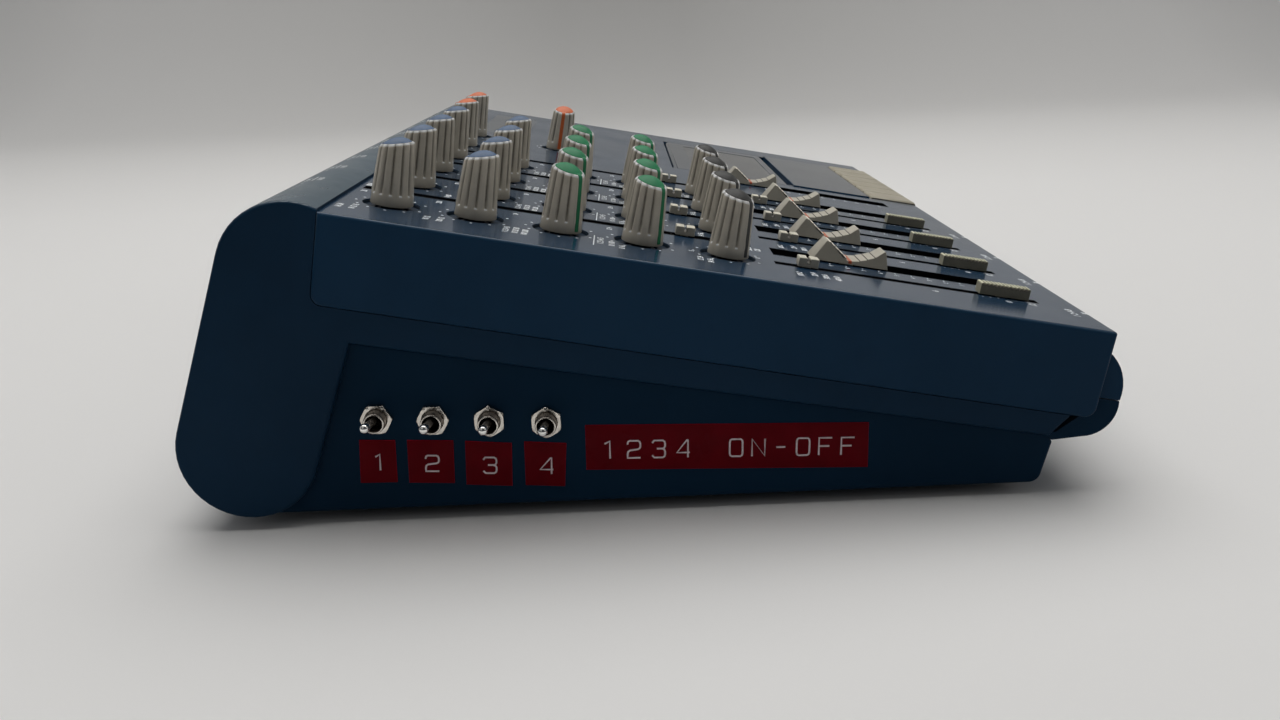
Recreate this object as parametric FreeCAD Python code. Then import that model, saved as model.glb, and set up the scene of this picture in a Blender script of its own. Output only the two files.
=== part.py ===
import FreeCAD, Part
import math
import os

V = FreeCAD.Vector

# Four track cassette recorder: a sloping mixer deck on a base with a leaning
# rear roll. Lengths are in millimetres and angles in degrees.
#
# Row frame: +Z up, +X to the user's right, the front faces -Y. The origin is
# under the middle of the whole outline, on the surface the feet stand on.
# "ahead" is the distance in front of the deck's rear edge, "height" is above
# the underside of the case, "side" is the distance from the left side.

# Case
case_width = 366.0
deck_slope = 11.1
deck_length = 216.2
deck_rear_height = 85.8
wall = 2.5
skirt_depth = 25.0
shell_gap = 0.15
band_inset = 0.6
lower_inset = 3.2
foot_height = 3.5
edge_round = 0.9
skirt_round = 3.0
end_round = 1.0

# Rear roll: a leaning capsule
roll_radius = 19.6
roll_low = (-27.4, 19.9)
roll_high = (-9.5, 69.5)
roll_lean = 20.2

# Front nose: a half round bar, split by a seam
nose_inset = 3.0
nose_top_drop = 6.0
nose_seam_drop = 19.6
nose_bulge = 7.0
nose_front_ahead = 215.89
nose_belly = (213.2, 17.4)
nose_foot = (196.9, 12.9)

# Knobs
channels = 4
channel_pitch = 40.0
knob_side = 27.2
knob_rows = {"treble_knob": 14.4, "bass_knob": 38.1, "effect_one_knob": 62.5,
             "effect_two_knob": 86.0, "pan_knob": 111.0}
stop_angle = 140.0
knob_turn = {"treble_knob": 0.0, "bass_knob": 0.0, "effect_one_knob": stop_angle,
             "effect_two_knob": stop_angle, "pan_knob": stop_angle}
master_knobs = {"monitor_knob": (189.0, 13.0, 0.0), "phones_knob": (230.0, 12.5, 0.0),
                "pitch_knob": (224.0, 52.0, 90.0)}
knob_base_radius = 6.05
knob_top_radius = 4.8
knob_height = 17.4
knob_dome = 1.5
knob_slant = 12.0
knob_rim = 0.9
knob_lift = 0.1
flute_count = 11
flute_free_angle = 72.0
flute_radius = 0.6
flute_start = 3.2
recess_radius = 8.2
recess_depth = 1.2
shaft_radius = 3.0
running_gap = 0.05
shaft_top = 12.5
bush_hole_radius = 4.6

# Faders and slides, measured along the deck from its rear edge
fader_side = 45.0
fader_slot = (9.6, 126.0, 193.0)
fader_rest = 149.4
master_fader_side = 205.0
master_fader_rest = 137.0
master_slot_shift = 5.5
cap_length = 23.4
cap_width = 10.0
cap_top_width = 7.4
cap_lift = 0.4
trim_side = 27.2
trim_slot = (2.6, 124.8, 203.0)
trim_rest = 192.3
trim_length = 14.8
trim_width = 4.4
trim_height = 3.3
ridge_pitch = 1.0
source_rest = 134.2
assign_side = 49.3
assign_rest = 99.5
groove_width = 3.4
groove_depth = 1.2
groove_span = (2.0, 120.0)
lobe_length = 5.9
lobe_width = 4.6
lobe_height = 2.6

# Display window on the deck: side from and to, along from and to
display_window = (252.0, 342.0, 12.0, 34.0)
display_drop = 0.8

# Cassette bay and keys
bay_left = 223.0
bay_right = 337.0
bay_gap = 0.5
door_rear = 104.0
door_front = 194.8
door_raised_from = 159.6
door_groove = 3.0
door_rise = 0.5
door_thickness = 2.6
hinge_radius = 2.0
hinge_pin_radius = 1.0
hinge_drop = 2.0
door_hinge = 106.2
well_floor_drop = 16.5
well_rear = 112.0
spindle_spacing = 42.5
spindle_ahead = 147.0
key_count = 6
key_rear = 195.8
key_front = 216.6
key_thickness = 4.6
key_rise = 1.0
key_gap = 0.7
key_pivot = (199.0, -9.0)
key_rod_radius = 1.5

# Toggle switches on the left side: distance ahead and height of each
toggle_places = [(9.1, 27.7), (24.6, 26.8), (40.1, 25.8), (55.8, 24.8)]
toggle_nut_turn = [30.0, 30.0, 0.0, 0.0]
toggle_tilt = 9.0
nut_across_flats = 8.0
nut_thickness = 1.9
bush_radius = 2.95
bush_out = 5.2
lever_length = 16.6
lever_ball = 1.35

# Rear sockets, measured along the roll from the left side
jack_sides = [44.0 + 29.0 * n for n in range(8)]
jack_bore_radius = 3.25
jack_bore_length = 14.0
jack_bush_radius = 5.5
phono_sides = [282.0, 300.0, 318.0]
phono_rows = [-8.5, 8.5]
phono_radius = 4.15
phono_length = 8.0
inlet_side = 340.0
inlet_bore_radius = 2.75
inlet_bore_length = 9.0
pocket_depth = 3.0
pocket_half = 18.0
socket_depth = 26.0
socket_nut_flats = 14.0

lever_reach = lever_length * math.cos(math.radians(toggle_tilt)) - lower_inset
left_x = -(case_width - lever_reach) / 2
deck_y = (nose_front_ahead + roll_low[0] - roll_radius) / 2
slope_cos = math.cos(math.radians(deck_slope))
slope_sin = math.sin(math.radians(deck_slope))


def spot(side, ahead, height):
    """Row-frame point from the case's own side, ahead and height."""
    return V(left_x + side, deck_y - ahead, height + foot_height)


def deck_place(shape):
    """Move a shape from the deck's flat frame (x side, y towards the rear, z out)."""
    placed = shape.copy()
    placed.rotate(V(0, 0, 0), V(1, 0, 0), deck_slope)
    placed.translate(spot(0, 0, deck_rear_height))
    return placed


def rear_place(shape):
    """Move a shape from the rear panel's frame (x side, y up the panel, z into the case)."""
    lean = math.radians(roll_lean)
    middle_ahead = (roll_low[0] + roll_high[0]) / 2 - roll_radius * math.cos(lean)
    middle_height = (roll_low[1] + roll_high[1]) / 2 + roll_radius * math.sin(lean)
    placed = shape.copy()
    placed.rotate(V(0, 0, 0), V(1, 0, 0), 90 + roll_lean)
    placed.translate(spot(0, middle_ahead, middle_height))
    return placed


def deck_box(side_from, side_to, along_from, along_to, out_from, out_to):
    """Box in the deck's flat frame."""
    size = (side_to - side_from, along_to - along_from, out_to - out_from)
    return Part.makeBox(size[0], size[1], size[2], V(side_from, -along_to, out_from))


def post(radius, side, along, out_from, out_to):
    """Round post standing square to the deck."""
    return Part.makeCylinder(radius, out_to - out_from, V(side, -along, out_from), V(0, 0, 1))


def fused(shapes):
    whole = shapes[0]
    if len(shapes) > 1:
        whole = whole.multiFuse(shapes[1:])
    return whole.removeSplitter()


def save(shape, node):
    """Write one node and note how many solids it holds."""
    shape.exportStep("parts/" + node + ".step")
    print(node, "solids", len(shape.Solids), "volume", round(shape.Volume), "valid", shape.isValid())


def hexagon(across_flats, thickness):
    corner = across_flats / 2 / math.cos(math.radians(30))
    points = []
    for index in range(7):
        angle = math.radians(60 * index)
        points.append(V(corner * math.cos(angle), corner * math.sin(angle), 0))
    return Part.Face(Part.makePolygon(points)).extrude(V(0, 0, thickness))


def side_face(points, side):
    """Flat face in a side plane; a point of three values is the middle of an arc."""
    edges = []
    count = len(points)
    index = 0
    while index < count:
        start = spot(side, *points[index][:2])
        nxt = points[(index + 1) % count]
        if len(nxt) == 3:
            middle = spot(side, *nxt[:2])
            end = spot(side, *points[(index + 2) % count][:2])
            edges.append(Part.Arc(start, middle, end).toShape())
            index += 2
        else:
            edges.append(Part.makeLine(start, spot(side, *nxt[:2])))
            index += 1
    return Part.Face(Part.Wire(edges))


def side_solid(points, side_from, side_to):
    return side_face(points, side_from).extrude(V(side_to - side_from, 0, 0))


def on_deck(along, out):
    """Case coordinates (ahead, height) of a place on the deck's own axes."""
    return (along * slope_cos + out * slope_sin,
            deck_rear_height - along * slope_sin + out * slope_cos)


def middle(point):
    """Mark a profile point as the middle of an arc."""
    return (point[0], point[1], "arc")


def capsule(radius):
    """Profile of the rear roll."""
    lean = math.radians(roll_lean)
    back = (-math.cos(lean), math.sin(lean))
    down = (-math.sin(lean), -math.cos(lean))

    def beside(centre, sign):
        return (centre[0] + sign * back[0] * radius, centre[1] + sign * back[1] * radius)

    def beyond(centre, sign):
        return (centre[0] + sign * down[0] * radius, centre[1] + sign * down[1] * radius)

    return [beside(roll_high, 1), beside(roll_low, 1), middle(beyond(roll_low, 1)),
            beside(roll_low, -1), beside(roll_high, -1), middle(beyond(roll_high, -1))]


# Deck cover

def nose_profile(top_drop, bottom_drop):
    """Part of the nose between two depths below the deck; it stands out furthest at the seam."""
    reach = nose_seam_drop - nose_top_drop

    def bulge(drop):
        share = (drop - nose_seam_drop) / reach
        return deck_length + nose_bulge * math.sqrt(max(0.0, 1 - share * share))

    half_way = (top_drop + bottom_drop) / 2
    return [on_deck(deck_length - wall, -top_drop), on_deck(bulge(top_drop), -top_drop),
            middle(on_deck(bulge(half_way), -half_way)), on_deck(bulge(bottom_drop), -bottom_drop),
            on_deck(deck_length - wall, -bottom_drop)]


def knob_places():
    """Node name, side, along and pointer angle of every knob."""
    places = []
    for row, along in knob_rows.items():
        for channel in range(channels):
            side = knob_side + channel * channel_pitch
            places.append((row + "_" + str(channel + 1), side, along, knob_turn[row]))
    for name, (side, along, turn) in master_knobs.items():
        places.append((name, side, along, turn))
    return places


def fader_places():
    """Node name, side, rest place and slot start and end of every fader."""
    start, end = fader_slot[1:]
    places = []
    for channel in range(channels):
        side = fader_side + channel * channel_pitch
        places.append(("fader_cap_" + str(channel + 1), side, fader_rest, start, end))
    places.append(("master_fader_cap", master_fader_side, master_fader_rest,
                   start + master_slot_shift, end + master_slot_shift))
    return places


def deck_cuts():
    """Everything that is cut out of the deck plate, in the deck's flat frame."""
    cuts = []
    for _, side, along, _ in knob_places():
        cuts.append(post(recess_radius, side, along, -recess_depth, 1))
        cuts.append(post(bush_hole_radius, side, along, -2 * wall, 0))
    width = fader_slot[0]
    for _, side, _, start, end in fader_places():
        cuts.append(deck_box(side - width / 2, side + width / 2, start, end, -2 * wall, 1))
    for channel in range(channels):
        shift = channel * channel_pitch
        width, start, end = trim_slot
        side = trim_side + shift
        cuts.append(deck_box(side - width / 2, side + width / 2, start, end, -2 * wall, 1))
        side = assign_side + shift
        cuts.append(deck_box(side - groove_width / 2, side + groove_width / 2,
                             groove_span[0], groove_span[1], -groove_depth, 1))
        cuts.append(deck_box(side - 1.3, side + 1.3, assign_rest - 4, assign_rest + 8, -2 * wall, 1))
    cuts.append(deck_box(*display_window, -2 * wall, 1))
    cuts.append(deck_box(bay_left - bay_gap, bay_right + bay_gap,
                         door_rear - bay_gap, door_front + bay_gap, -2 * wall, 1))
    cuts.append(deck_box(bay_left - bay_gap, bay_right + bay_gap,
                         key_rear - bay_gap, key_front + 9, -7.6, 1))
    return cuts


post_places = [(11.0, 16.9), (11.0, 100.0), (11.0, 184.0),
               (355.0, 16.9), (355.0, 100.0), (355.0, 184.0)]
boss_top = 17.0
screw_radius = 1.5
board_top = -14.4
board_thickness = 1.6
pillar_places = [(18.8, 26.0), (18.8, 122.0), (18.8, 205.0), (213.8, 122.0), (213.8, 205.0),
                 (260.0, 62.0), (341.0, 62.0)]


def runs_across(edge):
    """True for an edge that runs from the left side to the right side."""
    return edge.BoundBox.XLength > case_width / 2


def ends_rounded(solid, radius):
    """Round the outline of both end faces."""
    outline = [edge for edge in solid.Edges if edge.BoundBox.XLength < 0.01]
    return solid.makeFillet(radius, outline)


def deck_cover():
    outer = deck_box(0, case_width, 0, deck_length, -skirt_depth, 0)
    low_edges = [edge for edge in outer.Edges if runs_across(edge) and edge.BoundBox.ZMax < -1]
    outer = outer.makeFillet(skirt_round, low_edges)
    outline = [edge for edge in outer.Edges if not runs_across(edge)]
    front_edge = [edge for edge in outer.Edges
                  if runs_across(edge) and edge.BoundBox.ZMin > -0.1 and edge.BoundBox.YMax < -100]
    outer = deck_place(outer.makeFillet(edge_round, outline + front_edge))
    hollow = deck_place(deck_box(wall, case_width - wall, wall, deck_length - wall,
                                 -skirt_depth - 5, -wall))
    nose = side_solid(nose_profile(nose_top_drop, nose_seam_drop - shell_gap),
                      nose_inset, case_width - nose_inset)
    front_gap = deck_place(deck_box(wall, case_width - wall, deck_length - 2 * wall, deck_length + 1,
                                    -skirt_depth - 5, -nose_seam_drop + shell_gap))
    cover = outer.cut(hollow).cut(front_gap).fuse(nose)
    # hinge ears beside the cassette bay
    ears = []
    for side_from in (bay_left - bay_gap - 5, bay_right + bay_gap):
        ears.append(deck_place(deck_box(side_from, side_from + 5, door_rear - 2, door_rear + 9,
                                        -7, -wall + 0.5)))
    # board pillars and screw posts
    for side, along in pillar_places:
        ears.append(deck_place(post(2.4, side, along, board_top, -wall + 0.5)))
    for side, ahead in post_places:
        deck_height = deck_rear_height - ahead * slope_sin / slope_cos
        column = Part.makeCylinder(3.4, deck_height - boss_top - 1.2, spot(side, ahead, boss_top))
        ears.append(column)
    cover = fused([cover] + ears)
    cuts = [deck_place(cut) for cut in deck_cuts()]
    cuts.append(deck_place(Part.makeCylinder(hinge_pin_radius + running_gap, bay_right - bay_left + 10,
                                             V(bay_left - 5, -door_hinge, -hinge_drop), V(1, 0, 0))))
    for side, ahead in post_places:
        cuts.append(Part.makeCylinder(screw_radius + 0.02, 12, spot(side, ahead, boss_top - 1)))
    return cover.cut(Part.makeCompound(cuts))


# Base case

def cover_space():
    """Room that the deck cover and the air above it fill."""
    room = deck_box(-1, case_width + 1, -shell_gap, deck_length + 30, -skirt_depth - shell_gap, 40)
    rear_edge = [edge for edge in room.Edges
                 if runs_across(edge) and edge.BoundBox.ZMax < -1 and edge.BoundBox.YMax > -1]
    return deck_place(room.makeFillet(skirt_round + shell_gap, rear_edge))


def base_case():
    lower_front = (197.4, 12.0)
    lower_profile = [(-27.4, 0.3), (187.0, 0.0), (191.6, 0.0), middle((193.8, 0.9)), (194.9, 2.9),
                     lower_front, (196.0, 14.8), (4.6, 49.8), (-20.0, 45.0)]
    parting_front = (195.3, 14.9)
    skirt_line = -(skirt_depth + shell_gap)
    nose_low = [on_deck(deck_length - wall, -nose_seam_drop - shell_gap),
                on_deck(deck_length + nose_bulge - 0.05, -nose_seam_drop - shell_gap),
                middle(nose_belly), (205.4, 13.6), nose_foot, (192.6, 16.4),
                on_deck(deck_length - wall - 6, skirt_line - 6),
                on_deck(deck_length - wall, skirt_line)]
    # the band starts under the cover, so that its rounding doesn't show below the skirt
    band_profile = [(-2.0, 52.0), (4.6, 49.8), parting_front, on_deck(deck_length - 0.6, skirt_line + 8),
                    on_deck(-6.0, skirt_line + 8)]
    roll = side_solid(capsule(roll_radius), band_inset, case_width - band_inset)
    band = side_solid(band_profile, band_inset, case_width - band_inset)
    upper = ends_rounded(roll.fuse(band).removeSplitter(), end_round)
    lower = ends_rounded(side_solid(lower_profile, lower_inset, case_width - lower_inset), end_round)
    nose = side_solid(nose_low, nose_inset, case_width - nose_inset)
    outer = upper.cut(cover_space()).fuse(lower).fuse(nose)
    roll_hollow = side_solid(capsule(roll_radius - wall), wall + band_inset, case_width - wall - band_inset)
    inner_profile = [(-24.0, wall), (190.5, wall), (194.3, 14.0), (203.5, 16.9),
                     on_deck(deck_length - wall, -22.5), on_deck(deck_length - wall, 0),
                     on_deck(wall, 0), on_deck(wall, -30)]
    inner = side_solid(inner_profile, wall + lower_inset, case_width - wall - lower_inset)
    rear_hollow = roll_hollow.cut(deck_place(deck_box(-1, case_width + 1, -2 * wall, 90, -10, 40)))
    # the rear panel is a plate set into the flat of the roll
    panel = rear_place(Part.makeBox(case_width - 26, 2 * pocket_half + 6, wall + pocket_depth,
                                    V(13, -pocket_half - 3, 0)))
    pocket = rear_place(Part.makeBox(case_width - 32, 2 * pocket_half, pocket_depth + 10,
                                     V(16, -pocket_half, -10)))
    shell = outer.cut(rear_hollow.fuse(inner))
    shell = shell.fuse(panel.common(roll)).cut(pocket)
    bosses = []
    holes = []
    for side, ahead in post_places:
        bosses.append(Part.makeCylinder(4.4, boss_top - shell_gap - 1, spot(side, ahead, 1.0)))
        holes.append(Part.makeCylinder(screw_radius + 0.2, boss_top + 2, spot(side, ahead, -1)))
        holes.append(Part.makeCylinder(3.3, 5.5, spot(side, ahead, -1)))
    shell = fused([shell] + bosses)
    for ahead, height in toggle_places:
        holes.append(Part.makeCylinder(bush_radius + 0.1, 12, spot(-2, ahead, height), V(1, 0, 0)))
    for side in jack_sides:
        holes.append(rear_place(Part.makeCylinder(jack_bush_radius + 0.2, 12, V(side, 0, 0))))
    for side in phono_sides:
        for row in phono_rows:
            holes.append(rear_place(Part.makeCylinder(phono_radius + 0.5, 12, V(side, row, 0))))
    holes.append(rear_place(Part.makeCylinder(4.7, 12, V(inlet_side, 0, 0))))
    return shell.cut(Part.makeCompound(holes))


foot_places = [(30.0, -8.0), (336.0, -8.0), (30.0, 178.0), (336.0, 178.0)]


def rubber_feet():
    feet = []
    for side, ahead in foot_places:
        foot = Part.makeCone(7.2, 8.2, foot_height, spot(side, ahead, -foot_height))
        bottom = [edge for edge in foot.Edges if edge.BoundBox.ZMax < 0.1 and edge.Length > 20]
        feet.append(foot.makeFillet(0.8, bottom))
    return Part.makeCompound(feet)


def case_screws():
    screws = []
    for side, ahead in post_places:
        head = Part.makeCylinder(2.9, 2.2, spot(side, ahead, 2.3))
        shank = Part.makeCylinder(screw_radius, 20.5, spot(side, ahead, 4.4))
        slot = Part.makeBox(4.0, 0.9, 1.2, spot(side, ahead, 2.2) - V(2.0, 0.45, 0))
        cross = Part.makeBox(0.9, 4.0, 1.2, spot(side, ahead, 2.2) - V(0.45, 2.0, 0))
        screws.append(head.fuse(shank).cut(slot).cut(cross))
    return Part.makeCompound(screws)


# Knobs

def knob_shape():
    """Fluted knob with a pointer rib; its rim and domed cap slant down to the rib, at the rear."""
    lean = math.atan2(knob_base_radius - knob_top_radius, knob_height)
    neck = knob_base_radius - flute_start * math.tan(lean)
    skirt_line = [V(0, 0, 0), V(0, knob_base_radius, 0), V(0, neck, flute_start), V(0, 0, flute_start)]
    skirt = Part.Face(Part.makePolygon(skirt_line + [skirt_line[0]])).revolve(V(0, 0, 0), V(0, 0, 1), 360)
    tall = knob_height + 3
    tall_radius = knob_base_radius - tall * math.tan(lean)
    grip_line = [V(0, 0, flute_start), V(0, neck, flute_start), V(0, tall_radius, tall), V(0, 0, tall)]
    grip = Part.Face(Part.makePolygon(grip_line + [grip_line[0]])).revolve(V(0, 0, 0), V(0, 0, 1), 360)
    step = (360.0 - flute_free_angle) / (flute_count - 1)
    flutes = []
    for index in range(flute_count):
        flute = Part.makeCylinder(flute_radius, 22, V(neck + 0.1, 0, flute_start),
                                  V(-math.sin(lean), 0, math.cos(lean)))
        flute.rotate(V(0, 0, 0), V(0, 0, 1), 90 + flute_free_angle / 2 + index * step)
        flutes.append(flute)
    grip = grip.cut(Part.makeCompound(flutes)).common(under_knob_top())
    slope = math.tan(math.radians(knob_slant))
    rib_top = knob_height - 0.1
    rib_points = [V(-0.9, 0, 0), V(-0.9, knob_base_radius + 0.15, 0),
                  V(-0.9, knob_top_radius + 0.15, rib_top - (knob_top_radius + 0.15) * slope),
                  V(-0.9, 0, rib_top)]
    rib = Part.Face(Part.makePolygon(rib_points + [rib_points[0]])).extrude(V(1.8, 0, 0))
    bore = Part.makeCylinder(shaft_radius + running_gap, shaft_top + 0.6, V(0, 0, -0.3))
    hollow = Part.makeCylinder(4.9, 2.4, V(0, 0, -0.3))
    # the skirt and the fluted grip stay separate faces
    return skirt.fuse(grip).fuse(rib).cut(bore.fuse(hollow))


def under_knob_top():
    """Space below the slanting rim plane and the shallow dome on it."""
    dome_base = knob_top_radius - knob_rim
    dome_radius = (dome_base ** 2 + knob_dome ** 2) / (2 * knob_dome)
    half_way = math.asin(dome_base / dome_radius) / 2
    dome_middle = V(0, dome_radius * math.sin(half_way), knob_dome - dome_radius * (1 - math.cos(half_way)))
    crown = V(0, 0, knob_dome)
    line = [V(0, 0, -20), V(0, 12, -20), V(0, 12, 0), V(0, dome_base, 0)]
    edges = Part.makePolygon(line).Edges
    edges.append(Part.Arc(line[-1], dome_middle, crown).toShape())
    edges.append(Part.makeLine(crown, line[0]))
    space = Part.Face(Part.Wire(edges)).revolve(V(0, 0, 0), V(0, 0, 1), 360)
    space.rotate(V(0, 0, 0), V(1, 0, 0), -knob_slant)
    space.translate(V(0, 0, knob_height))
    return space


def placed_knob(pattern, side, along, turn):
    knob = pattern.copy()
    knob.rotate(V(0, 0, 0), V(0, 0, 1), turn)
    knob.translate(V(side, -along, knob_lift))
    return deck_place(knob)


# Faders and slide switches

def fader_cap():
    """Saddle cap on a blade; origin under its middle line, long way front to rear."""
    half = cap_length / 2
    outline = [(-half + 0.2, 0.0), (-half + 3.8, 6.0), (-half + 4.6, 6.0), (-4.8, 3.9), (-3.2, 2.8),
               (-1.5, 1.6), (-0.5, 1.1), (0.9, 1.0), (3.2, 1.4), (5.3, 2.1), (7.3, 3.0),
               (half - 1.3, 5.1), (half, 0.0)]
    points = [V(0, -along, out) for along, out in outline]
    saddle = Part.Face(Part.makePolygon(points + [points[0]])).extrude(V(cap_width, 0, 0))
    saddle.translate(V(-cap_width / 2, 0, 0))
    # the long sides lean inwards
    corners = [V(-cap_width / 2, half, 0), V(cap_width / 2, half, 0),
               V(cap_top_width / 2, half, 6.1), V(-cap_top_width / 2, half, 6.1)]
    draft = Part.Face(Part.makePolygon(corners + [corners[0]])).extrude(V(0, -cap_length, 0))
    saddle = saddle.common(draft)
    blade = Part.makeBox(1.4, 4.0, 9.5, V(-0.7, -2.0, -9.3))
    return saddle.fuse(blade)


def trim_slider():
    """Low serrated slider on a blade."""
    body = Part.makeBox(trim_width, trim_length, trim_height, V(-trim_width / 2, -trim_length / 2, 0))
    cuts = []
    for index in range(-6, 7):
        cuts.append(Part.makeBox(trim_width + 2, 0.45, 0.5,
                                 V(-trim_width / 2 - 1, index * ridge_pitch - 0.22, trim_height - 0.4)))
    blade = Part.makeBox(1.2, 3.2, 7.0, V(-0.6, -1.6, -6.8))
    return body.cut(Part.makeCompound(cuts)).fuse(blade)


def lobe_switch():
    """Two lobed slide button with a notch between the lobes."""
    half = lobe_length / 2
    outline = [(-half, 0.0), (-half, 2.0), (-half + 0.6, lobe_height), (-0.6, lobe_height), (0.0, 1.4),
               (0.6, lobe_height), (half - 0.6, lobe_height), (half, 2.0), (half, 0.0)]
    points = [V(0, -along, out) for along, out in outline]
    body = Part.Face(Part.makePolygon(points + [points[0]])).extrude(V(lobe_width, 0, 0))
    body.translate(V(-lobe_width / 2, 0, 0))
    blade = Part.makeBox(1.2, 2.4, 7.0, V(-0.6, -1.2, -6.8))
    return body.fuse(blade)


def on_slot(shape, side, along):
    moved = shape.copy()
    moved.translate(V(side, -along, cap_lift))
    return deck_place(moved)


# Circuit boards

def circuit_boards():
    """Mixer board with its controls, and the board that carries the rear sockets."""
    board_low = board_top - board_thickness
    pieces = [deck_box(16.0, 217.0, 6.0, 208.0, board_low, board_top),
              deck_box(216.0, 346.0, 6.0, 68.0, board_low, board_top)]
    for _, side, along, _ in knob_places():
        holder = deck_box(side - 5, side + 5, along - 5.5, along + 5.5, board_top - 0.1, -6.4)
        bush = post(shaft_radius + 1.2, side, along, -6.6, -recess_depth - 0.2)
        shaft = post(shaft_radius, side, along, -6.6, shaft_top - 0.6)
        pieces.append(fused([holder, bush, shaft]))
    left, right, start, end = display_window
    pieces.append(deck_box(left + 0.2, right - 0.2, start + 0.2, end - 0.2, board_top - 0.1, -display_drop))
    for _, side, _, start, end in fader_places():
        body = deck_box(side - 4.5, side + 4.5, start - 3, end + 3, board_top - 0.1, -5.0)
        channel = deck_box(side - 1.1, side + 1.1, start + 0.5, end - 0.5, -10.4, 0)
        pieces.append(body.cut(channel))
    for channel in range(channels):
        shift = channel * channel_pitch
        side = trim_side + shift
        body = deck_box(side - 3.5, side + 3.5, trim_slot[1] - 2, trim_slot[2] + 2, board_top - 0.1, -4.4)
        slot = deck_box(side - 1.0, side + 1.0, trim_slot[1], trim_slot[2], -7.6, 0)
        pieces.append(body.cut(slot))
        side = assign_side + shift
        body = deck_box(side - 3.5, side + 3.5, assign_rest - 7, assign_rest + 10, board_top - 0.1, -4.4)
        slot = deck_box(side - 1.0, side + 1.0, assign_rest - 4, assign_rest + 8, -7.6, 0)
        pieces.append(body.cut(slot))
    board = deck_place(fused(pieces))
    socket_board = rear_place(Part.makeBox(322, 26, board_thickness, V(26, -13, socket_depth)))
    return Part.makeCompound([board, socket_board])


# Tape section

def tape_chassis():
    """Cassette tray with heads, capstan, key rod, flywheel and motor."""
    centre = (bay_left + bay_right) / 2
    floor = -well_floor_drop
    tray_left = bay_left + 0.8
    tray_right = bay_right - 0.8
    pieces = [deck_box(tray_left, tray_right, well_rear - 4, 206.0, floor - 1.6, floor)]
    for side in (tray_left, tray_right - 1.4):
        pieces.append(deck_box(side, side + 1.4, well_rear - 4, 193.0, floor - 0.1, -3.4))
        pieces.append(deck_box(side, side + 1.4, 196.0, 203.0, floor - 0.1, key_pivot[1] + 3.0))
    pieces.append(deck_box(tray_left, tray_right, well_rear - 4, well_rear - 2.4, floor - 0.1, -7.4))
    heads = [(centre - 8, 16, 8.0), (centre - 30, 12, 7.0)]
    for side, width, deep in heads:
        pieces.append(deck_box(side, side + width, 179.0, 179.0 + deep, floor - 0.1, floor + 11))
    pieces.append(post(1.2, centre + 21, 181.0, floor - 0.1, floor + 11.5))
    roller = post(5.0, centre + 21, 187.4, floor + 1.5, floor + 10.5)
    pieces.append(post(1.6, centre + 21, 187.4, floor - 0.1, floor + 12))
    pieces.append(roller)
    for side in (tray_left + 4, tray_right - 8):
        pieces.append(deck_box(side, side + 4, 120.0, 128.0, floor - 0.1, floor + 1.6))
    rod = Part.makeCylinder(key_rod_radius, tray_right - tray_left - 0.4,
                            V(tray_left + 0.2, -key_pivot[0], key_pivot[1]), V(1, 0, 0))
    pieces.append(rod)
    pieces.append(post(22.0, centre + 21, 172.0, floor - 6.0, floor - 2.4))
    pieces.append(post(3.0, centre + 21, 172.0, floor - 8.0, floor - 1.4))
    pieces.append(post(17.0, centre - 34, 168.0, floor - 14.0, floor - 1.5))
    chassis = fused(pieces)
    cuts = []
    for sign in (-1, 1):
        side = centre + sign * spindle_spacing / 2
        cuts.append(post(2.0 + running_gap, side, spindle_ahead, floor - 5, floor + 1))
    placed = deck_place(chassis.cut(Part.makeCompound(cuts)))
    # legs that carry the tray from the base
    legs = []
    for side, along in ((tray_left + 5, 118.0), (tray_right - 5, 118.0),
                        (tray_left + 5, 188.0), (tray_right - 5, 188.0)):
        foot_ahead, foot_top = on_deck(along, floor - 0.4)
        legs.append(Part.makeCylinder(3.0, foot_top - wall, spot(side, foot_ahead, wall)))
    return fused([placed] + legs)


def spindle():
    """Reel spindle with three drive fins; origin on the tray's floor."""
    pieces = [Part.makeCylinder(2.0, 3.6, V(0, 0, -3.2)), Part.makeCylinder(6.0, 1.6, V(0, 0, 0.3)),
              Part.makeCylinder(2.6, 9.0, V(0, 0, 0.4)), Part.makeCone(2.6, 1.2, 1.8, V(0, 0, 9.4))]
    for index in range(3):
        fin = Part.makeBox(4.2, 0.9, 6.4, V(0, -0.45, 1.8))
        fin.rotate(V(0, 0, 0), V(0, 0, 1), 120 * index)
        pieces.append(fin)
    return fused(pieces)


def placed_spindle(sign):
    centre = (bay_left + bay_right) / 2
    moved = spindle()
    moved.translate(V(centre + sign * spindle_spacing / 2, -spindle_ahead, -well_floor_drop))
    return deck_place(moved)


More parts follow.
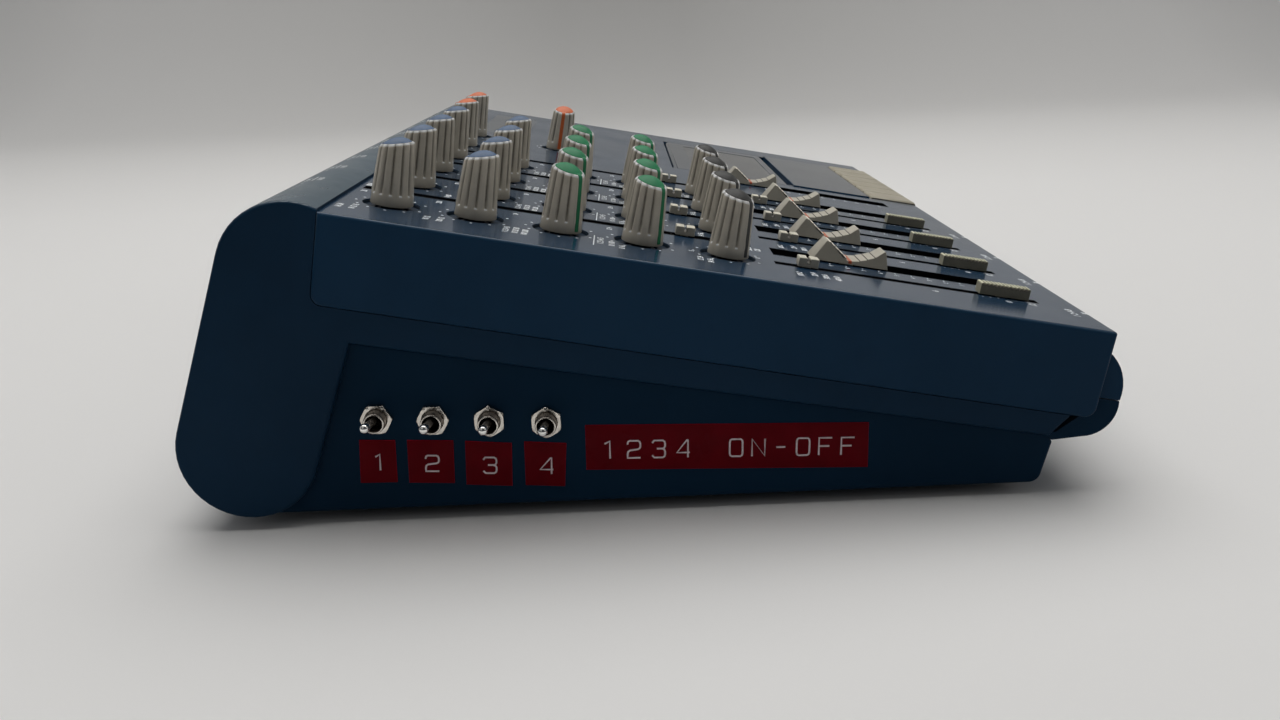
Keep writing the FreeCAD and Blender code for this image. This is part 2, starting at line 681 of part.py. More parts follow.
def cassette_door():
    """Lid with a window frame at the rear, a raised front and hinge pins."""
    low = -door_thickness
    plate = deck_box(bay_left, bay_right, door_hinge, door_front, low, 0)
    raised = deck_box(bay_left, bay_right, door_raised_from, door_front, low, door_rise)
    crown = [edge for edge in raised.Edges if edge.BoundBox.ZMin > door_rise - 0.1]
    raised = raised.makeFillet(0.3, crown)
    barrel = Part.makeCylinder(hinge_radius, bay_right - bay_left,
                               V(bay_left, -door_hinge, -hinge_drop), V(1, 0, 0))
    pin = Part.makeCylinder(hinge_pin_radius, bay_right - bay_left + 8,
                            V(bay_left - 4, -door_hinge, -hinge_drop), V(1, 0, 0))
    window = deck_box(bay_left + 12, bay_right - 12, 116.0, 151.0, low - 1, 1)
    ledge = deck_box(bay_left + 10, bay_right - 10, 114.0, 153.0, -1.2, 1)
    groove = deck_box(bay_left + 1.2, bay_right - 1.2, door_raised_from - door_groove, door_raised_from,
                      -1.6, 1)
    pane = deck_box(bay_left + 10.1, bay_right - 10.1, 114.1, 152.9, -1.2, -0.1)
    lid = fused([plate, raised, barrel, pin]).cut(window).cut(ledge).cut(groove)
    return deck_place(Part.makeCompound([lid, pane]))


def transport_key(index):
    """Key top on a boss that turns on the key rod."""
    pitch = (bay_right - bay_left) / key_count
    left = bay_left + index * pitch + key_gap / 2
    right = left + pitch - key_gap
    top = deck_box(left, right, key_rear, key_front, key_rise - key_thickness, key_rise)
    edges = [edge for edge in top.Edges if edge.BoundBox.ZMin > key_rise - 0.1 and edge.Length > 5]
    top = top.makeFillet(1.5, edges)
    middle_side = (left + right) / 2
    web = deck_box(middle_side - 4, middle_side + 4, key_pivot[0] - 2.6, key_pivot[0] + 2.6,
                   key_pivot[1], key_rise - key_thickness + 0.2)
    boss = Part.makeCylinder(2.8, 8, V(middle_side - 4, -key_pivot[0], key_pivot[1]), V(1, 0, 0))
    bore = Part.makeCylinder(key_rod_radius + running_gap, 12,
                             V(middle_side - 6, -key_pivot[0], key_pivot[1]), V(1, 0, 0))
    return deck_place(fused([top, web, boss]).cut(bore))


# Sockets and toggle switches

def rear_sockets():
    """Jacks, phono sockets and the power inlet; each is a body on its board behind the panel."""
    sockets = []
    inner = wall + pocket_depth
    body_depth = socket_depth - inner
    for side in jack_sides:
        body = Part.makeBox(15, 15, body_depth, V(side - 7.5, -7.5, inner))
        bush = Part.makeCylinder(jack_bush_radius, inner, V(side, 0, 0.6))
        nut = hexagon(socket_nut_flats, 2.0)
        nut.translate(V(side, 0, pocket_depth - 2.0))
        bore = Part.makeCylinder(jack_bore_radius, jack_bore_length, V(side, 0, 0.6))
        sockets.append(fused([body, bush, nut]).cut(bore))
    for side in phono_sides:
        for row in phono_rows:
            end = pocket_depth - phono_length
            body = Part.makeBox(11, 11, body_depth, V(side - 5.5, row - 5.5, inner))
            sleeve = Part.makeCylinder(phono_radius, phono_length + 0.1, V(side, row, end))
            collar = Part.makeCylinder(phono_radius + 0.3, inner - pocket_depth + 0.1,
                                       V(side, row, pocket_depth))
            core = Part.makeCylinder(1.65, phono_length - 0.5, V(side, row, end))
            sockets.append(fused([body, sleeve, collar]).cut(core))
    body = Part.makeBox(11, 13, body_depth, V(inlet_side - 5.5, -6.5, inner))
    bush = Part.makeCylinder(4.5, inner, V(inlet_side, 0, 0.6))
    hole = Part.makeCylinder(inlet_bore_radius, inlet_bore_length, V(inlet_side, 0, 0.6))
    sockets.append(fused([body, bush]).cut(hole))
    return [rear_place(socket) for socket in sockets]


def toggle_bodies():
    """Switch boxes behind the left wall, with their threaded bushes and nuts outside it."""
    bodies = []
    for (ahead, height), turn in zip(toggle_places, toggle_nut_turn):
        box = Part.makeBox(10, 7, 12, spot(lower_inset + wall, ahead, height) + V(0, -3.5, -6))
        bush = Part.makeCylinder(bush_radius, bush_out + wall + 0.5,
                                 spot(lower_inset + wall + 0.5, ahead, height), V(-1, 0, 0))
        nut = hexagon(nut_across_flats, nut_thickness)
        nut.rotate(V(0, 0, 0), V(0, 0, 1), turn)
        nut.rotate(V(0, 0, 0), V(0, 1, 0), -90)
        nut.translate(spot(lower_inset, ahead, height))
        inner_end = spot(lower_inset + 0.4, ahead, height)
        throat = Part.makeCone(1.7, 2.45, bush_out + 0.5, inner_end, V(-1, 0, 0))
        seat = Part.makeSphere(1.75, inner_end)
        bodies.append(fused([box, bush, nut]).cut(throat.fuse(seat)))
    return bodies


def panel_hardware():
    """Everything that is fastened through the case walls."""
    return Part.makeCompound(rear_sockets() + toggle_bodies())


def toggle_lever(ahead, height):
    """Bat lever that turns about a point in the face of the side wall; it leans up at rest."""
    root = Part.makeSphere(1.25)
    stem = Part.makeCone(0.85, 1.1, lever_length - lever_ball, V(0, 0, 0), V(-1, 0, 0))
    tip = Part.makeSphere(lever_ball, V(-(lever_length - lever_ball), 0, 0))
    lever = fused([root, stem, tip])
    lever.rotate(V(0, 0, 0), V(0, 1, 0), toggle_tilt)
    lever.translate(spot(lower_inset, ahead, height))
    return lever


def main():
    os.makedirs("parts", exist_ok=True)
    save(deck_cover(), "deck_cover")
    save(base_case(), "base_case")
    save(circuit_boards(), "circuit_boards")
    save(tape_chassis(), "tape_chassis")
    save(panel_hardware(), "panel_hardware")
    save(rubber_feet(), "rubber_feet")
    save(case_screws(), "case_screws")
    pattern = knob_shape()
    for name, side, along, turn in knob_places():
        save(placed_knob(pattern, side, along, turn), name)
    cap = fader_cap()
    for name, side, rest, _, _ in fader_places():
        save(on_slot(cap, side, rest), name)
    slider = trim_slider()
    switch = lobe_switch()
    for channel in range(channels):
        number = str(channel + 1)
        shift = channel * channel_pitch
        save(on_slot(slider, trim_side + shift, trim_rest), "trim_slider_" + number)
        save(on_slot(switch, trim_side + shift, source_rest), "source_switch_" + number)
        save(on_slot(switch, assign_side + shift, assign_rest), "assign_switch_" + number)
        save(toggle_lever(*toggle_places[channel]), "toggle_lever_" + number)
    for index in range(key_count):
        save(transport_key(index), "transport_key_" + str(index + 1))
    save(cassette_door(), "cassette_door")
    save(placed_spindle(-1), "supply_spindle")
    save(placed_spindle(1), "takeup_spindle")


main()
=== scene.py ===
# Four track cassette recorder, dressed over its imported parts
# Lengths in the dictionaries are millimetres, angles are degrees
import bpy
import bmesh
import math
from mathutils import Matrix, Vector


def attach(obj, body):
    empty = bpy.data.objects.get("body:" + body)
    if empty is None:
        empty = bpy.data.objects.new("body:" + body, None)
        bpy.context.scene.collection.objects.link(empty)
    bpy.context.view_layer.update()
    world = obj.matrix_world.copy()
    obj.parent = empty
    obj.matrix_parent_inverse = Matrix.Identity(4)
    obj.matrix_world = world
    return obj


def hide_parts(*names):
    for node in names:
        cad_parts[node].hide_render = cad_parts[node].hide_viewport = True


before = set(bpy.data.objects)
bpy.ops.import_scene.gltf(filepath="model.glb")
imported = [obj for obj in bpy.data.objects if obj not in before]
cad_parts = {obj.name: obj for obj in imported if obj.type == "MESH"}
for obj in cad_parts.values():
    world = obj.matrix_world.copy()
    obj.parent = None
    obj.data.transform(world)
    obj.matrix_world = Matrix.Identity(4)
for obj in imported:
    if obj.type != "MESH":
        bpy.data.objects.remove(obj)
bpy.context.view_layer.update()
print("frame loaded,", len(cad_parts), "nodes")

mm = 0.001

# where the case stands in the shared frame
caseSpots = {
    "leftX": -176.402,
    "deckY": 84.445,
    "footHeight": 3.5,
    "deckSlope": 11.1,
    "deckRearHeight": 85.8,
    "width": 366.0,
    "sideInset": 3.2,
    "rearLean": 20.2,
    "rearAhead": -36.845,
    "rearHeight": 51.468,
    "rollTop": (-9.5, 69.5),
    "rollRadius": 19.6,
}


def spot(side, ahead, height):
    return Vector((caseSpots["leftX"] + side, caseSpots["deckY"] - ahead, height + caseSpots["footHeight"]))


def frameAt(origin, turn):
    return Matrix.Scale(mm, 4) @ Matrix.Translation(origin) @ turn


# deck: x across, y to the rear, z out of the deck
deckPlace = frameAt(spot(0, 0, caseSpots["deckRearHeight"]),
                    Matrix.Rotation(math.radians(caseSpots["deckSlope"]), 4, "X"))
# rear panel: x across, y up the panel, z into the case
rearPlace = frameAt(spot(0, caseSpots["rearAhead"], caseSpots["rearHeight"]),
                    Matrix.Rotation(math.radians(90 + caseSpots["rearLean"]), 4, "X"))
# left wall: x to the front, y up, z out of the wall
wallTurn = Matrix(((0, 0, -1, 0), (-1, 0, 0, 0), (0, 1, 0, 0), (0, 0, 0, 1)))
wallPlace = frameAt(spot(caseSpots["sideInset"], 0, 0), wallTurn)


# Camera and room
cameraLook = {
    "at": (-471.33, 3.60, 133.81),
    "ahead": (0.9581, -0.0049, -0.2862),
    "up": (0.2858, -0.0418, 0.9574),
    "lens": 32.014,
}


def addCamera():
    data = bpy.data.cameras.new("mainCamera")
    data.sensor_width = 36
    data.lens = cameraLook["lens"]
    data.clip_start = 0.01
    data.clip_end = 30
    camera = bpy.data.objects.new("mainCamera", data)
    bpy.context.scene.collection.objects.link(camera)
    ahead = Vector(cameraLook["ahead"]).normalized()
    right = ahead.cross(Vector(cameraLook["up"])).normalized()
    up = right.cross(ahead)
    turn = Matrix((right, up, -ahead)).transposed().to_4x4()
    camera.matrix_world = Matrix.Translation(Vector(cameraLook["at"]) * mm) @ turn
    bpy.context.scene.camera = camera


addCamera()
bpy.context.scene.view_settings.view_transform = "Standard"

roomLook = {
    "floorSeen": (0.80, 0.795, 0.785),
    "floorBounce": (0.46, 0.455, 0.445),
    "wallSeen": (0.43, 0.428, 0.42),
    "wallFrom": 0.42,
    "wallTo": 2.1,
    "wallStart": 1.15,
    "bend": 0.7,
    "wallHeight": 2.2,
    "halfWidth": 3.0,
    "skyFar": (0.62, 0.625, 0.63),
    "skyNear": (0.05, 0.052, 0.055),
    "skyReach": (-0.35, 0.45),
    # painted glow: up the wall the paper gives off a pale light that only reflections see
    "glowHeights": (0.15, 0.45),
    "glowUp": 0.10,
    "glowColour": (0.97, 0.985, 1.0),
    "cornerPale": (0.92, 0.915, 0.905),
    "cornerReach": (0.1, 0.9),
    "rough": 0.85,
    "specular": 0.2,
    "fibreScale": 900,
    "fibreStrength": 0.1,
    "fibreDepth": 0.0002,
}


def newMaterial(name):
    material = bpy.data.materials.new(name)
    material.use_nodes = True
    return material, material.node_tree.nodes, material.node_tree.links


def noiseNode(nodes, links, coord, scale, detail=2.0, rough=0.5):
    noise = nodes.new("ShaderNodeTexNoise")
    noise.inputs["Scale"].default_value = scale
    noise.inputs["Detail"].default_value = detail
    noise.inputs["Roughness"].default_value = rough
    links.new(coord.outputs["Object"], noise.inputs["Vector"])
    return noise


def spanNode(nodes, links, source, low, high, toLow=0, toHigh=1, shape="SMOOTHSTEP"):
    span = nodes.new("ShaderNodeMapRange")
    span.interpolation_type = shape
    span.inputs["From Min"].default_value = low
    span.inputs["From Max"].default_value = high
    span.inputs["To Min"].default_value = toLow
    span.inputs["To Max"].default_value = toHigh
    links.new(source, span.inputs["Value"])
    return span


def mathNode(nodes, links, operation, *sources):
    result = nodes.new("ShaderNodeMath")
    result.operation = operation
    for index, source in enumerate(sources):
        links.new(source, result.inputs[index])
    return result


def tintNode(nodes, links, share, first, second):
    tint = nodes.new("ShaderNodeMix")
    tint.data_type = "RGBA"
    for socket, value in (("A", first), ("B", second)):
        if isinstance(value, tuple):
            tint.inputs[socket].default_value = (*value, 1)
        else:
            links.new(value, tint.inputs[socket])
    links.new(share, tint.inputs["Factor"])
    return tint


def bumpNode(nodes, links, source, strength, distance):
    bump = nodes.new("ShaderNodeBump")
    bump.inputs["Strength"].default_value = strength
    bump.inputs["Distance"].default_value = distance
    links.new(source, bump.inputs["Height"])
    links.new(bump.outputs["Normal"], nodes["Principled BSDF"].inputs["Normal"])


def floorFinish():
    look = roomLook
    material, nodes, links = newMaterial("palePaper")
    shader = nodes["Principled BSDF"]
    coord = nodes.new("ShaderNodeTexCoord")
    apart = nodes.new("ShaderNodeSeparateXYZ")
    links.new(coord.outputs["Object"], apart.inputs[0])
    reach = spanNode(nodes, links, apart.outputs["X"], look["wallFrom"], look["wallTo"], shape="LINEAR")
    # painted light and shade: the paper darkens from the floor up the wall, and the far corners are paler
    # than the middle
    across = mathNode(nodes, links, "ABSOLUTE", apart.outputs["Y"])
    corner = spanNode(nodes, links, across.outputs["Value"], *look["cornerReach"], shape="LINEAR")
    paler = tintNode(nodes, links, corner.outputs["Result"], look["wallSeen"], look["cornerPale"])
    seen = tintNode(nodes, links, reach.outputs["Result"], look["floorSeen"], paler.outputs["Result"])
    # paper throws back less light on the case than it shows
    path = nodes.new("ShaderNodeLightPath")
    direct = mathNode(nodes, links, "MAXIMUM", path.outputs["Is Camera Ray"], path.outputs["Is Glossy Ray"])
    colour = tintNode(nodes, links, direct.outputs["Value"], look["floorBounce"], seen.outputs["Result"])
    links.new(colour.outputs["Result"], shader.inputs["Base Color"])
    # painted reflection: the upper wall glows, in glossy rays only
    upper = spanNode(nodes, links, apart.outputs["Z"], *look["glowHeights"], 0, look["glowUp"], "LINEAR")
    mirrored = mathNode(nodes, links, "MULTIPLY", upper.outputs["Result"], path.outputs["Is Glossy Ray"])
    shader.inputs["Emission Color"].default_value = (*look["glowColour"], 1)
    links.new(mirrored.outputs["Value"], shader.inputs["Emission Strength"])
    shader.inputs["Roughness"].default_value = look["rough"]
    shader.inputs["Specular IOR Level"].default_value = look["specular"]
    fibre = noiseNode(nodes, links, coord, look["fibreScale"])
    bumpNode(nodes, links, fibre.outputs["Fac"], look["fibreStrength"], look["fibreDepth"])
    return material


def addSky():
    # brighter behind the case than on the camera's side
    world = bpy.data.worlds.new("studio")
    bpy.context.scene.world = world
    world.use_nodes = True
    nodes, links = world.node_tree.nodes, world.node_tree.links
    coord = nodes.new("ShaderNodeTexCoord")
    apart = nodes.new("ShaderNodeSeparateXYZ")
    links.new(coord.outputs["Generated"], apart.inputs[0])
    share = spanNode(nodes, links, apart.outputs["X"], *roomLook["skyReach"])
    sky = tintNode(nodes, links, share.outputs["Result"], roomLook["skyNear"], roomLook["skyFar"])
    links.new(sky.outputs["Result"], nodes["Background"].inputs["Color"])
    nodes["Background"].inputs["Strength"].default_value = 1.0


def addRoom():
    bm = bmesh.new()
    half = roomLook["halfWidth"]
    start = roomLook["wallStart"]
    first = bm.verts.new((-half, -half, 0))
    last = bm.verts.new((-half, half, 0))
    edge = bm.edges.new((first, last))

    def pull(edges, shift):
        grown = bmesh.ops.extrude_edge_only(bm, edges=edges)["geom"]
        bmesh.ops.translate(bm, verts=[v for v in grown if isinstance(v, bmesh.types.BMVert)], vec=shift)
        return [e for e in grown if isinstance(e, bmesh.types.BMEdge)]

    edges = pull([edge], (half + start, 0, 0))
    bends = 16
    for index in range(bends):
        a = math.pi / 2 * (index + 0.5) / bends
        step = roomLook["bend"] * math.pi / 2 / bends
        edges = pull(edges, (step * math.cos(a), 0, step * math.sin(a)))
    pull(edges, (0, 0, roomLook["wallHeight"]))
    bmesh.ops.recalc_face_normals(bm, faces=bm.faces)
    mesh = bpy.data.meshes.new("paperSweep")
    bm.to_mesh(mesh)
    bm.free()
    for face in mesh.polygons:
        face.use_smooth = True
    mesh.materials.append(floorFinish())
    sweep = bpy.data.objects.new("paperSweep", mesh)
    bpy.context.scene.collection.objects.link(sweep)


lampLook = {
    "overhead": {"at": (0.35, 0.0, 1.45), "aim": (0.0, 0.0, 0.0), "size": 1.9, "power": 21.0},
    "left": {"at": (-1.1, 0.7, 0.9), "aim": (-0.1, 0.0, 0.05), "size": 0.9, "power": 0.7},
    "right": {"at": (-0.6, -1.2, 0.8), "aim": (0.0, 0.0, 0.05), "size": 0.9, "power": 0.6},
}


def addLamps():
    for name, look in lampLook.items():
        data = bpy.data.lights.new(name + "Softbox", "AREA")
        data.shape = "SQUARE"
        data.size = look["size"]
        data.energy = look["power"]
        data.color = (1.0, 0.985, 0.965)
        lamp = bpy.data.objects.new(name + "Softbox", data)
        bpy.context.scene.collection.objects.link(lamp)
        lamp.location = look["at"]
        lamp.rotation_euler = (Vector(look["aim"]) - Vector(look["at"])).to_track_quat("-Z", "Y").to_euler()


addRoom()
addSky()
addLamps()
print("room, lamps and camera placed")


# Finishes
def mouldedFinish(name, look):
    material, nodes, links = newMaterial(name)
    shader = nodes["Principled BSDF"]
    coord = nodes.new("ShaderNodeTexCoord")
    shift = look.get("shift", 0.08)
    base = look["colour"]
    darker = tuple(c * (1 - shift) for c in base)
    lighter = tuple(min(1.0, c * (1 + shift)) for c in base)
    cloud = noiseNode(nodes, links, coord, look.get("cloudScale", 60), 5, 0.6)
    share = spanNode(nodes, links, cloud.outputs["Fac"], 0.35, 0.65, 0, 1)
    colour = tintNode(nodes, links, share.outputs["Result"], darker, lighter)

    # dust that settles on faces which look up
    speck = noiseNode(nodes, links, coord, look.get("dustScale", 700), 7, 0.65)
    speckShare = spanNode(nodes, links, speck.outputs["Fac"], 0.56, 0.72, 0, look.get("dust", 0.1))
    surface = nodes.new("ShaderNodeNewGeometry")
    facing = nodes.new("ShaderNodeSeparateXYZ")
    links.new(surface.outputs["Normal"], facing.inputs[0])
    upward = spanNode(nodes, links, facing.outputs["Z"], 0.1, 0.9, 0.15, 1)
    dust = mathNode(nodes, links, "MULTIPLY", speckShare.outputs["Result"], upward.outputs["Result"])
    dusted = tintNode(nodes, links, dust.outputs["Value"], colour.outputs["Result"],
                      look.get("dustAndSheenColour", (0.42, 0.42, 0.41)))

    # painted sheen: faces that look up are tinted paler, standing in for the light they catch
    sheenShare = spanNode(nodes, links, facing.outputs["Z"], 0.15, 1.0, 0, look.get("film", 0.0))
    sheened = tintNode(nodes, links, sheenShare.outputs["Result"], dusted.outputs["Result"],
                      look.get("dustAndSheenColour", (0.42, 0.42, 0.41)))

    # the per-vertex attribute: below zero is grime and painted shade in hollows, above zero is a rubbed edge
    # and painted highlight
    wear = nodes.new("ShaderNodeAttribute")
    wear.attribute_name = "wear"
    broken = spanNode(nodes, links, speck.outputs["Fac"], 0.3, 0.6, 0.75, 1.0)
    grimeAndShade = spanNode(nodes, links, wear.outputs["Fac"], 0.0, -1.0, 0, 1)
    grimeAndShadeShare = mathNode(nodes, links, "MULTIPLY", grimeAndShade.outputs["Result"], broken.outputs["Result"])
    grimedAndShaded = tintNode(nodes, links, grimeAndShadeShare.outputs["Value"], sheened.outputs["Result"],
                      tuple(c * look.get("grimeAndShadeDark", 0.3) for c in base))
    rubAndHighlight = spanNode(nodes, links, wear.outputs["Fac"], 0.0, 1.0, 0, 1)
    rubAndHighlightShare = mathNode(nodes, links, "MULTIPLY", rubAndHighlight.outputs["Result"], broken.outputs["Result"])
    rubbedAndHighlit = tintNode(nodes, links, rubAndHighlightShare.outputs["Value"], grimedAndShaded.outputs["Result"],
                      tuple(min(0.8, c * look.get("rubAndHighlightPale", 1.7)) for c in base))
    links.new(rubbedAndHighlit.outputs["Result"], shader.inputs["Base Color"])

    # handling marks change the gloss
    smear = noiseNode(nodes, links, coord, look.get("smearScale", 25), 4, 0.7)
    rough = look["rough"]
    spread = look.get("roughSpread", 0.08)
    gloss = spanNode(nodes, links, smear.outputs["Fac"], 0.3, 0.7, rough - spread, rough + spread)
    links.new(gloss.outputs["Result"], shader.inputs["Roughness"])

    grain = noiseNode(nodes, links, coord, look.get("grainScale", 3500), 2, 0.5)
    bumpNode(nodes, links, grain.outputs["Fac"], look.get("grainStrength", 0.35),
             look.get("grainDepth", 0.00003))
    shader.inputs["Specular IOR Level"].default_value = look.get("specular", 0.5)
    shader.inputs["Coat Weight"].default_value = look.get("coat", 0.0)
    shader.inputs["Coat Roughness"].default_value = look.get("coatRough", 0.1)
    shader.inputs["Metallic"].default_value = look.get("metal", 0.0)
    return material


# the case's blue plastic, before what differs from shell to shell
mouldedBlue = {"shift": 0.10, "rough": 0.34, "roughSpread": 0.05, "dust": 0.03,
               "dustAndSheenColour": (0.13, 0.17, 0.18), "film": 0.2, "specular": 0.07, "cloudScale": 14,
               "grainScale": 4200, "grainStrength": 0.14, "rubAndHighlightPale": 3.0}
finishLooks = {
    "caseBlue": {**mouldedBlue, "colour": (0.008, 0.034, 0.074)},
    "skirtBlue": {**mouldedBlue, "colour": (0.011, 0.045, 0.098)},
    "rollBlue": {**mouldedBlue, "colour": (0.008, 0.034, 0.074), "rough": 0.30, "dust": 0.05, "film": 0.5,
                 "specular": 0.22, "grainStrength": 0.10, "rubAndHighlightPale": 1.7},
    "lowerShadeBlue": {**mouldedBlue, "colour": (0.005, 0.027, 0.060), "rough": 0.40, "film": 0.0,
                  "specular": 0.05, "rubAndHighlightPale": 1.7},
    "lidGloss": {"colour": (0.018, 0.030, 0.046), "shift": 0.06, "rough": 0.11, "roughSpread": 0.03,
                 "dust": 0.05, "dustAndSheenColour": (0.16, 0.17, 0.19), "specular": 0.5, "cloudScale": 14,
                 "grainScale": 4200, "grainStrength": 0.04},
    "deckBlue": {"colour": (0.008, 0.036, 0.078), "shift": 0.08, "rough": 0.17, "roughSpread": 0.03,
                 "dust": 0.04, "dustAndSheenColour": (0.12, 0.14, 0.17), "specular": 0.5, "cloudScale": 14,
                 "grainScale": 4200, "grainStrength": 0.05},
    "knobGrey": {"colour": (0.60, 0.545, 0.445), "shift": 0.06, "rough": 0.42, "roughSpread": 0.08,
                 "dust": 0.15, "dustAndSheenColour": (0.62, 0.60, 0.54), "cloudScale": 120, "grainStrength": 0.25,
                 "grimeAndShadeDark": 0.2, "rubAndHighlightPale": 1.8, "coat": 0.3, "coatRough": 0.2},
    "capBlue": {"colour": (0.090, 0.150, 0.255), "rough": 0.45, "dust": 0.06, "cloudScale": 200,
                "specular": 0.35},
    "capGreen": {"colour": (0.012, 0.215, 0.085), "rough": 0.45, "dust": 0.03, "cloudScale": 200,
                 "specular": 0.3},
    "capOrange": {"colour": (0.70, 0.145, 0.030), "rough": 0.42, "dust": 0.08, "cloudScale": 200},
    "capDark": {"colour": (0.038, 0.038, 0.036), "rough": 0.45, "dust": 0.06, "cloudScale": 200,
                "specular": 0.3},
    "faderIvory": {"colour": (0.42, 0.39, 0.32), "shift": 0.05, "rough": 0.42, "roughSpread": 0.08,
                   "dust": 0.12, "dustAndSheenColour": (0.60, 0.57, 0.50), "cloudScale": 150, "rubAndHighlightPale": 1.95,
                   "coat": 0.2, "coatRough": 0.2},
    "lineOrange": {"colour": (0.50, 0.10, 0.035), "rough": 0.5, "dust": 0.1, "cloudScale": 300},
    "sliderOlive": {"colour": (0.20, 0.185, 0.135), "shift": 0.07, "rough": 0.45, "dust": 0.12,
                    "dustAndSheenColour": (0.4, 0.38, 0.33), "cloudScale": 220, "grimeAndShadeDark": 0.12, "rubAndHighlightPale": 4.2},
    "keyBeige": {"colour": (0.37, 0.335, 0.25), "shift": 0.05, "rough": 0.40, "dust": 0.15,
                 "cloudScale": 90},
    "keyShade": {"colour": (0.060, 0.048, 0.034), "rough": 0.6, "dust": 0.1, "cloudScale": 90,
                 "specular": 0.2},
    "feltAndShadeBlack": {"colour": (0.003, 0.003, 0.004), "rough": 0.8, "dust": 0.04, "cloudScale": 200,
                  "specular": 0.08},
    "recessShade": {"colour": (0.006, 0.020, 0.040), "rough": 0.4, "dust": 0.05, "cloudScale": 200,
                   "dustAndSheenColour": (0.12, 0.14, 0.17), "specular": 0.25},
    "inkWhite": {"colour": (0.90, 0.93, 0.95), "shift": 0.06, "rough": 0.5, "dust": 0.0, "cloudScale": 900},
    "tapeRed": {"colour": (0.16, 0.0008, 0.0065), "shift": 0.10, "rough": 0.30, "roughSpread": 0.07,
                "dust": 0.02, "dustAndSheenColour": (0.3, 0.10, 0.11), "cloudScale": 90, "grainScale": 900,
                "grainStrength": 0.10, "grainDepth": 0.00006, "specular": 0.05, "rubAndHighlightPale": 3.6},
    "tapeStress": {"colour": (0.99, 0.82, 0.86), "shift": 0.08, "rough": 0.35, "dust": 0.0,
                   "cloudScale": 700, "coat": 0.8, "coatRough": 0.2},
    "nickel": {"colour": (0.70, 0.66, 0.60), "shift": 0.05, "rough": 0.22, "roughSpread": 0.06,
               "metal": 1.0, "dust": 0.08, "cloudScale": 400, "smearScale": 300, "grainScale": 2500,
               "grainStrength": 0.10, "grimeAndShadeDark": 0.12},
    "darkNickel": {"colour": (0.26, 0.225, 0.19), "shift": 0.12, "rough": 0.3, "roughSpread": 0.08,
                   "metal": 1.0, "dust": 0.05, "cloudScale": 500, "smearScale": 400, "grainScale": 2500,
                   "grainStrength": 0.15},
    "bright": {"colour": (0.95, 0.94, 0.91), "shift": 0.03, "rough": 0.05, "roughSpread": 0.02,
               "metal": 1.0, "dust": 0.02, "cloudScale": 300, "grainStrength": 0.02},
    "steel": {"colour": (0.42, 0.42, 0.41), "rough": 0.35, "roughSpread": 0.1, "metal": 1.0, "dust": 0.1,
              "cloudScale": 80, "smearScale": 90},
    "rubber": {"colour": (0.018, 0.018, 0.019), "rough": 0.75, "dust": 0.3, "specular": 0.3,
               "dustAndSheenColour": (0.16, 0.155, 0.15), "grainScale": 1500, "grainStrength": 0.5},
    "trayGrey": {"colour": (0.022, 0.023, 0.025), "rough": 0.45, "dust": 0.15,
                 "dustAndSheenColour": (0.14, 0.14, 0.14),
                 "cloudScale": 60, "specular": 0.35},
    "blackSteel": {"colour": (0.05, 0.05, 0.052), "rough": 0.38, "metal": 0.6, "dust": 0.1},
    "blackPlastic": {"colour": (0.006, 0.006, 0.007), "rough": 0.42, "dust": 0.08, "specular": 0.3},
    "boardGreen": {"colour": (0.012, 0.075, 0.030), "rough": 0.35, "dust": 0.15, "cloudScale": 150},
    "phonoRed": {"colour": (0.45, 0.02, 0.02), "rough": 0.4, "dust": 0.05},
    "phonoWhite": {"colour": (0.60, 0.59, 0.56), "rough": 0.4, "dust": 0.05},
}
finishes = {name: mouldedFinish(name, look) for name, look in finishLooks.items()}


def smokedFinish(name, colour, clear):
    material = mouldedFinish(name, {"colour": colour, "rough": 0.09, "roughSpread": 0.04, "dust": 0.1,
                                    "dustAndSheenColour": (0.25, 0.27, 0.3), "cloudScale": 40,
                                    "grainScale": 1200, "grainStrength": 0.03})
    shader = material.node_tree.nodes["Principled BSDF"]
    shader.inputs["Transmission Weight"].default_value = clear
    shader.inputs["IOR"].default_value = 1.49
    return material


finishes["smoked"] = smokedFinish("smoked", (0.10, 0.11, 0.12), 0.75)
finishes["displaySmoke"] = smokedFinish("displaySmoke", (0.010, 0.030, 0.055), 0.3)
print("finishes mixed:", len(finishes))


# Modelling helpers
def finishPiece(bm, name, place, looks, body, sharp=35, stands=()):
    bmesh.ops.remove_doubles(bm, verts=bm.verts, dist=0.0005)
    bm.transform(place)
    bmesh.ops.recalc_face_normals(bm, faces=bm.faces)
    mesh = bpy.data.meshes.new(name)
    bm.to_mesh(mesh)
    bm.free()
    return showMesh(mesh, name, looks, body, sharp, stands)


def showMesh(mesh, name, looks, body, sharp, stands):
    for look in looks:
        mesh.materials.append(finishes[look])
    for face in mesh.polygons:
        face.use_smooth = True
    mesh.set_sharp_from_angle(angle=math.radians(sharp))
    piece = bpy.data.objects.new(name, mesh)
    bpy.context.scene.collection.objects.link(piece)
    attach(piece, body)
    if stands:
        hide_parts(*stands)
    return piece


def blockOf(bm, sides, alongs, outs, look=0):
    # a block between two sides, two places along (to the front) and two heights
    middle = Vector(((sides[0] + sides[1]) / 2, -(alongs[0] + alongs[1]) / 2, (outs[0] + outs[1]) / 2))
    size = Vector((sides[1] - sides[0], alongs[1] - alongs[0], outs[1] - outs[0]))
    place = Matrix.Translation(middle) @ Matrix.Diagonal((*size, 1))
    made = bmesh.ops.create_cube(bm, size=1, matrix=place)
    faces = {face for vert in made["verts"] for face in vert.link_faces}
    for face in faces:
        face.material_index = look
    return made["verts"], faces


def roundEdges(bm, edges, size, steps=2):
    bmesh.ops.bevel(bm, geom=edges, offset=size, offset_type="OFFSET", segments=steps, profile=0.5,
                    affect="EDGES", clamp_overlap=True, material=-1)


